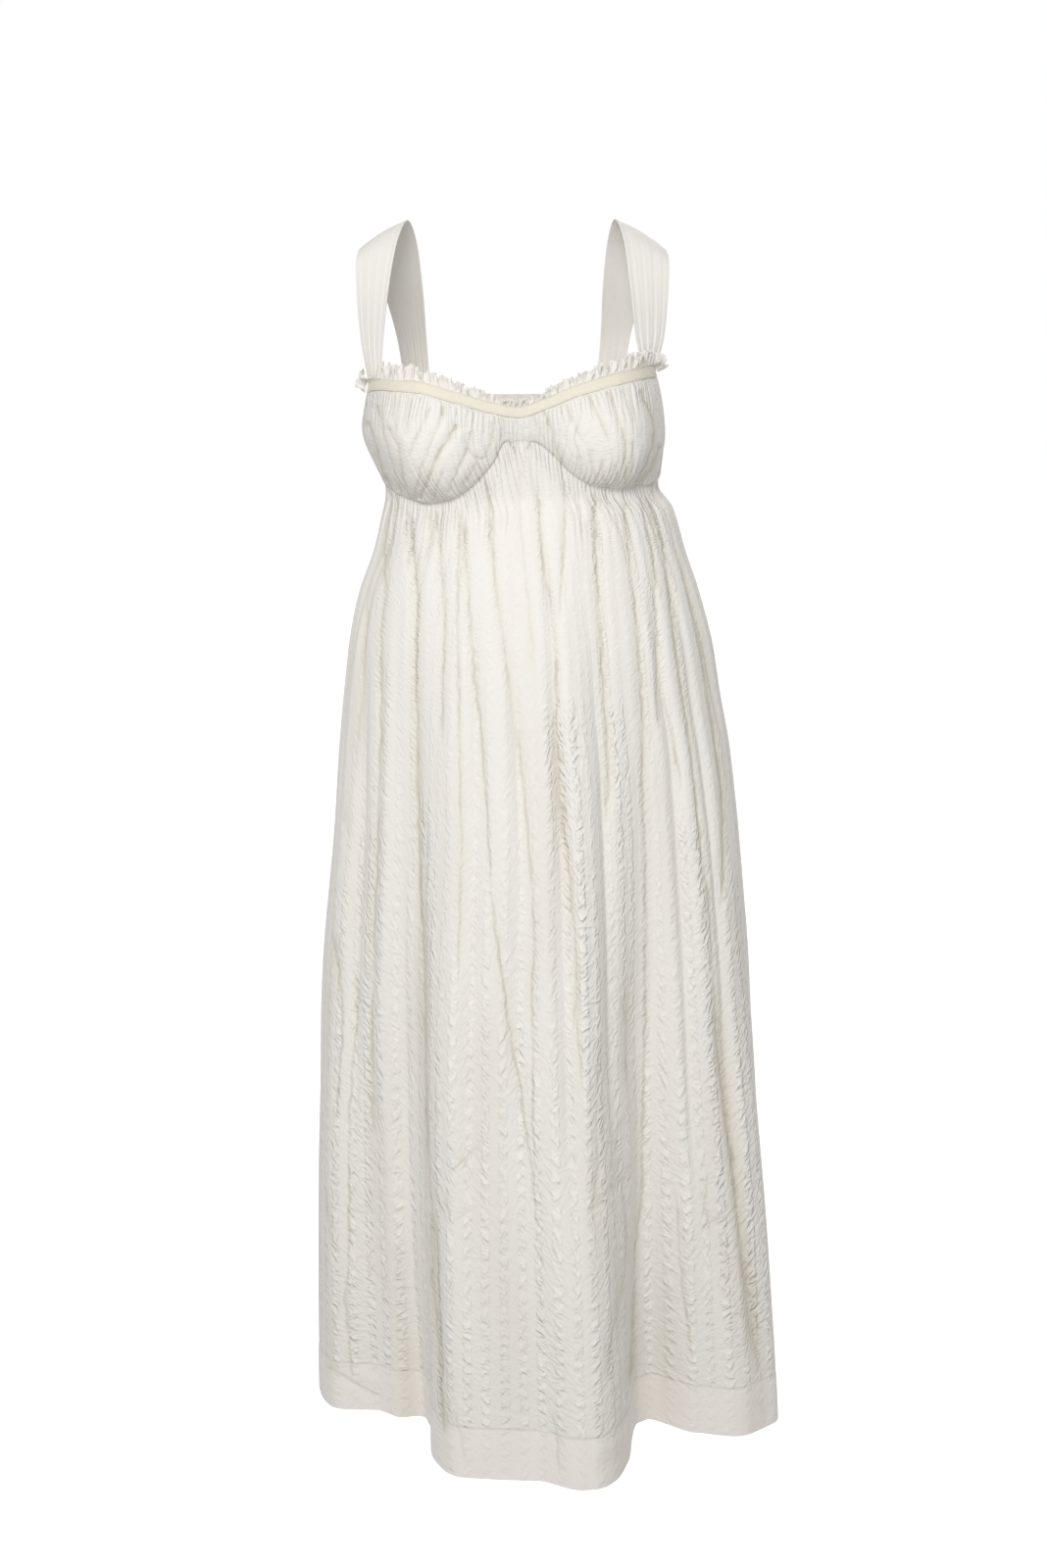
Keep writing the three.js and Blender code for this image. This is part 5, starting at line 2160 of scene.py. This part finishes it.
        # Painted highlight: the puckers' crests are painted lighter than the cloth.
        light = linear(*[min(255.0, part * self.painted_highlight_gain) for part in self.warm])
        # Painted shade: the darker, warmer colour for the creases' lines and the hem's upper edge.
        painted_line_shade = self.shaded(self.line_shade)
        colour = graph.mix(puff, mottled.outputs["Colour"], light)
        colour = graph.mix(hem, colour, linear(*self.hem))
        # Painted shadow: a darker line along the hem's upper edge, in the creases' painted shade
        # colour.
        stitches = graph.sum_of("MULTIPLY", edge, self.hem_edge_shade)
        colour = graph.mix(stitches, colour, painted_line_shade)
        # Painted shade: darker and warmer in the hollows of the troughs.
        colour = graph.mix(graph.read("hollow"), colour, self.shaded(self.shade))
        # Painted shade: darker along the sharp line at the bottom of each crease.
        return graph.mix(line, colour, painted_line_shade)

    def material(self, groups: Groups) -> bpy.types.Material:
        """Builds the material.

        Args:
            groups: The shared effects by name.

        Returns:
            The material.
        """
        made = bpy.data.materials.new(self.name)
        made.use_nodes = True
        graph = Graph(made.node_tree)
        shader = graph.node("ShaderNodeBsdfPrincipled")
        output = graph.node("ShaderNodeOutputMaterial")
        graph.feed(output.inputs["Surface"], shader.outputs[0])
        flat = graph.node("ShaderNodeUVMap", uv_map="cloth").outputs[0]
        above, away = graph.read("above_hem"), graph.read("from_seam")
        hem = graph.rest_of(graph.ramp(above, *self.hem_soft))
        edge = graph.rest_of(graph.ramp(graph.sum_of("ABSOLUTE", above), *self.hem_edge))
        # The creases' sharp lines: a dent in the bump, and painted shade in the colour.
        line = graph.call(groups["thin_lines"], place=flat, lines=graph.read("lines", "Vector"),
                          strengths=graph.read("line_strengths", "Vector"),
                          width=self.line_width).outputs["Line"]
        weave, creased, puff = self.threads(graph, groups, flat, hem, away)
        fine = graph.sum_of("ADD", weave, self.wrinkles(graph, groups, flat, creased))
        large = self.folds(graph, groups, away, line, hem, edge)
        bump = graph.node("ShaderNodeBump")
        bump.inputs["Distance"].default_value = MM
        graph.feed(bump.inputs["Height"], graph.sum_of("ADD", large, fine))
        graph.feed(shader.inputs["Normal"], bump.outputs[0])
        graph.feed(shader.inputs["Base Color"],
                   self.colour(graph, groups, puff, line, hem, edge))
        for name, value in (("Roughness", self.roughness), ("Specular IOR Level", self.specular),
                            ("Sheen Weight", self.sheen),
                            ("Sheen Roughness", self.sheen_roughness)):
            shader.inputs[name].default_value = value
        return made


FINISHES = {
    "striped_cotton": ClothFinish(
        "striped_cotton", Weave.PUCKERED, (234, 231, 225), (235, 231, 224), (238, 233, 226), 1.8),
    "plain_cotton": ClothFinish(
        "plain_cotton", Weave.PLAIN, (235, 232, 226), (236, 232, 225), (234, 232, 227), 1.3),
    "cream_tape": ClothFinish(
        "cream_tape", Weave.RIBBED, (232, 226, 210), (234, 227, 209), (233, 227, 210), 0.0),
}


@dataclass
class Bodice:
    """The two cups, the back, and the tape and frill of the neck."""

    cup_columns: int = 150
    cup_rows: int = 90

    def build(self, finishes: dict[str, bpy.types.Material]) -> None:
        """Makes every piece of the bodice.

        Args:
            finishes: The materials by slot.
        """
        cut = Cut(0.22, 0.19, 0.033, Held.GATHERED, ("strap_left",))
        left = Cup("left_cup_cloth", "cup_left", cut, self.cup_columns, self.cup_rows,
                   creases=LEFT_CUP_CREASES)
        right_cut = Cut(0.22, 0.19, 0.031, Held.GATHERED, ("strap_right",))
        right = Cup("right_cup_cloth", "cup_right", right_cut, self.cup_columns, self.cup_rows,
                    first=SEAM_CENTRE, last=SIDE, creases=RIGHT_CUP_CREASES)
        back = BackBodice("back_bodice_cloth", "back_bodice",
                          Cut(0.44, 0.085, 0.036, Held.GATHERED, ("strap_left", "strap_right")),
                          columns=220, rows=50)
        tape = NeckTape("neck_tape_cloth", "neck_tape",
                        Cut(0.40, 0.010, 0.0040, Held.STRETCHED, ("cup_left", "cup_right")),
                        columns=400, rows=6, wall=0.9)
        frill = NeckFrill("neck_frill_cloth", "neck_ruffle",
                          Cut(0.66, 0.011, 0.0070, Held.GATHERED, ("neck_tape",)),
                          columns=1300, rows=11, wall=0.6)
        for piece, slot in ((left, "plain_cotton"), (right, "plain_cotton"),
                            (back, "plain_cotton"), (tape, "cream_tape"),
                            (frill, "plain_cotton")):
            piece.build(finishes[slot], slot)


@dataclass
class Skirt:
    """The long gathered skirt, in a front and a back panel."""

    columns: int = 390
    rows: int = 122
    wall: float = 1.8

    def build(self, finishes: dict[str, bpy.types.Material]) -> None:
        """Makes both panels.

        Args:
            finishes: The materials by slot.
        """
        front = SkirtPanel(
            "skirt_front_cloth", "skirt_front",
            Cut(0.75, 1.0, 0.74, Held.GATHERED, ("cup_left", "cup_right")),
            self.columns, self.rows, self.wall,
            creases=SKIRT_FRONT_CREASES, bands=SKIRT_FRONT_BANDS, gathers=SKIRT_FRONT_GATHERS)
        back = SkirtPanel(
            "skirt_back_cloth", "skirt_back",
            Cut(0.70, 0.97, 0.67, Held.GATHERED, ("back_bodice",)),
            self.columns, self.rows, self.wall, first=SIDE, last=TURN - SIDE,
            creases=SKIRT_BACK_CREASES, bands=SKIRT_BACK_BANDS, gathers=SKIRT_BACK_GATHERS,
            behind=True, line_strength=0.35)
        for panel in (front, back):
            panel.build(finishes["striped_cotton"], "striped_cotton")


@dataclass
class Straps:
    """The two wide shoulder straps."""

    columns: int = 60
    rows: int = 150

    def build(self, finishes: dict[str, bpy.types.Material]) -> None:
        """Makes both straps.

        Args:
            finishes: The materials by slot.
        """
        cut = Cut(0.056, 0.38, 0.0175, Held.HUNG)
        left = Strap("left_strap_cloth", "strap_left", cut, self.columns, self.rows, side=-1.0,
                     sections=LEFT_STRAP_SECTIONS, front_angle=66.0, front_half=7.5)
        right = Strap("right_strap_cloth", "strap_right", cut, self.columns, self.rows, crease=1.0)
        for strap in (left, right):
            strap.build(finishes["plain_cotton"], "plain_cotton")


@dataclass
class Studio:
    """A pale floor, a soft lamp and the camera."""

    floor_z: float = -1.51
    floor_half: float = 14.0
    key_place: tuple[float, float, float] = (-0.36, -2.31, 0.94)
    back_place: tuple[float, float, float] = (1.0, 2.4, 0.9)
    aim: tuple[float, float, float] = (0.0, 0.0, -0.6)
    lamp_size: float = 0.9
    lamp_spread: float = 80.0
    key_power: float = 8.25
    back_power: float = 6.0
    sky: float = 0.54
    floor_glow: float = 0.7

    def build(self) -> None:
        """Sets up the whole studio."""
        self.floor()
        self.lamp("softbox_front", self.key_place, self.key_power)
        self.lamp("softbox_back", self.back_place, self.back_power)
        self.surroundings()
        self.camera()
        bpy.context.scene.view_settings.view_transform = "Standard"

    def floor(self) -> None:
        """Lays the floor."""
        bpy.ops.object.select_all(action="DESELECT")
        bpy.ops.mesh.primitive_plane_add(size=2 * self.floor_half, location=(0, 0, self.floor_z))
        floor = bpy.context.object
        floor.name = "studio_floor"
        made = bpy.data.materials.new("pale_floor")
        made.use_nodes = True
        shader = made.node_tree.nodes["Principled BSDF"]
        shader.inputs["Base Color"].default_value = (0.9, 0.9, 0.9, 1.0)
        shader.inputs["Roughness"].default_value = 1.0
        shader.inputs["Emission Color"].default_value = (1.0, 1.0, 1.0, 1.0)
        shader.inputs["Emission Strength"].default_value = self.floor_glow
        floor.data.materials.append(made)
        floor.visible_diffuse = False

    def lamp(self, name: str, place: tuple[float, float, float], power: float) -> None:
        """Hangs one soft lamp.

        Args:
            name: The lamp's name.
            place: Where it hangs, in metres.
            power: How strong it is, in watts.
        """
        light = bpy.data.lights.new(name, "AREA")
        light.shape = "SQUARE"
        light.size = self.lamp_size
        light.spread = math.radians(self.lamp_spread)
        light.energy = power
        lamp = bpy.data.objects.new(name, light)
        lamp.location = place
        way = Vector(self.aim) - Vector(place)
        lamp.rotation_euler = way.to_track_quat("-Z", "Y").to_euler()
        bpy.context.scene.collection.objects.link(lamp)

    def surroundings(self) -> None:
        """Makes the room white where the camera sees it, and dimmer as a light."""
        world = bpy.data.worlds.new("studio")
        world.use_nodes = True
        graph = Graph(world.node_tree)
        seen = graph.node("ShaderNodeLightPath").outputs["Is Camera Ray"]
        light = graph.node("ShaderNodeBackground")
        graph.feed(light.inputs["Strength"], graph.sum_of("MULTIPLY_ADD", seen, 1 - self.sky,
                                                          self.sky))
        light.inputs["Color"].default_value = (1.0, 1.0, 1.0, 1.0)
        output = graph.node("ShaderNodeOutputWorld")
        graph.feed(output.inputs["Surface"], light.outputs[0])
        bpy.context.scene.world = world

    def camera(self) -> None:
        """Places the camera at the photograph's angle."""
        lens = bpy.data.cameras.new("camera")
        lens.sensor_width = VIEW.sensor
        lens.lens = VIEW.focal * VIEW.sensor / VIEW.height
        lens.clip_end = 60.0
        lens.dof.use_dof = False
        camera = bpy.data.objects.new("camera", lens)
        camera.location = Vector(VIEW.place) * MM
        camera.rotation_euler = (math.radians(SIDE - VIEW.pitch), 0.0, 0.0)
        bpy.context.scene.collection.objects.link(camera)
        bpy.context.scene.camera = camera


def main() -> None:
    """Builds the studio and the dress."""
    logging.basicConfig(level=logging.INFO, format="%(name)s %(message)s")
    Studio().build()
    effects = SharedEffects()
    groups = {
        "puckered_stripe": effects.puckered_stripe(),
        "crinkles": effects.crinkles(),
        "thin_lines": effects.thin_lines(),
        "fine_gathers": effects.fine_gathers(),
        "plain_threads": effects.plain_threads(),
        "mottle": effects.mottle(),
    }
    finishes = {slot: finish.material(groups) for slot, finish in FINISHES.items()}
    Skirt().build(finishes)
    Bodice().build(finishes)
    Straps().build(finishes)


if __name__ == "__main__":
    main()
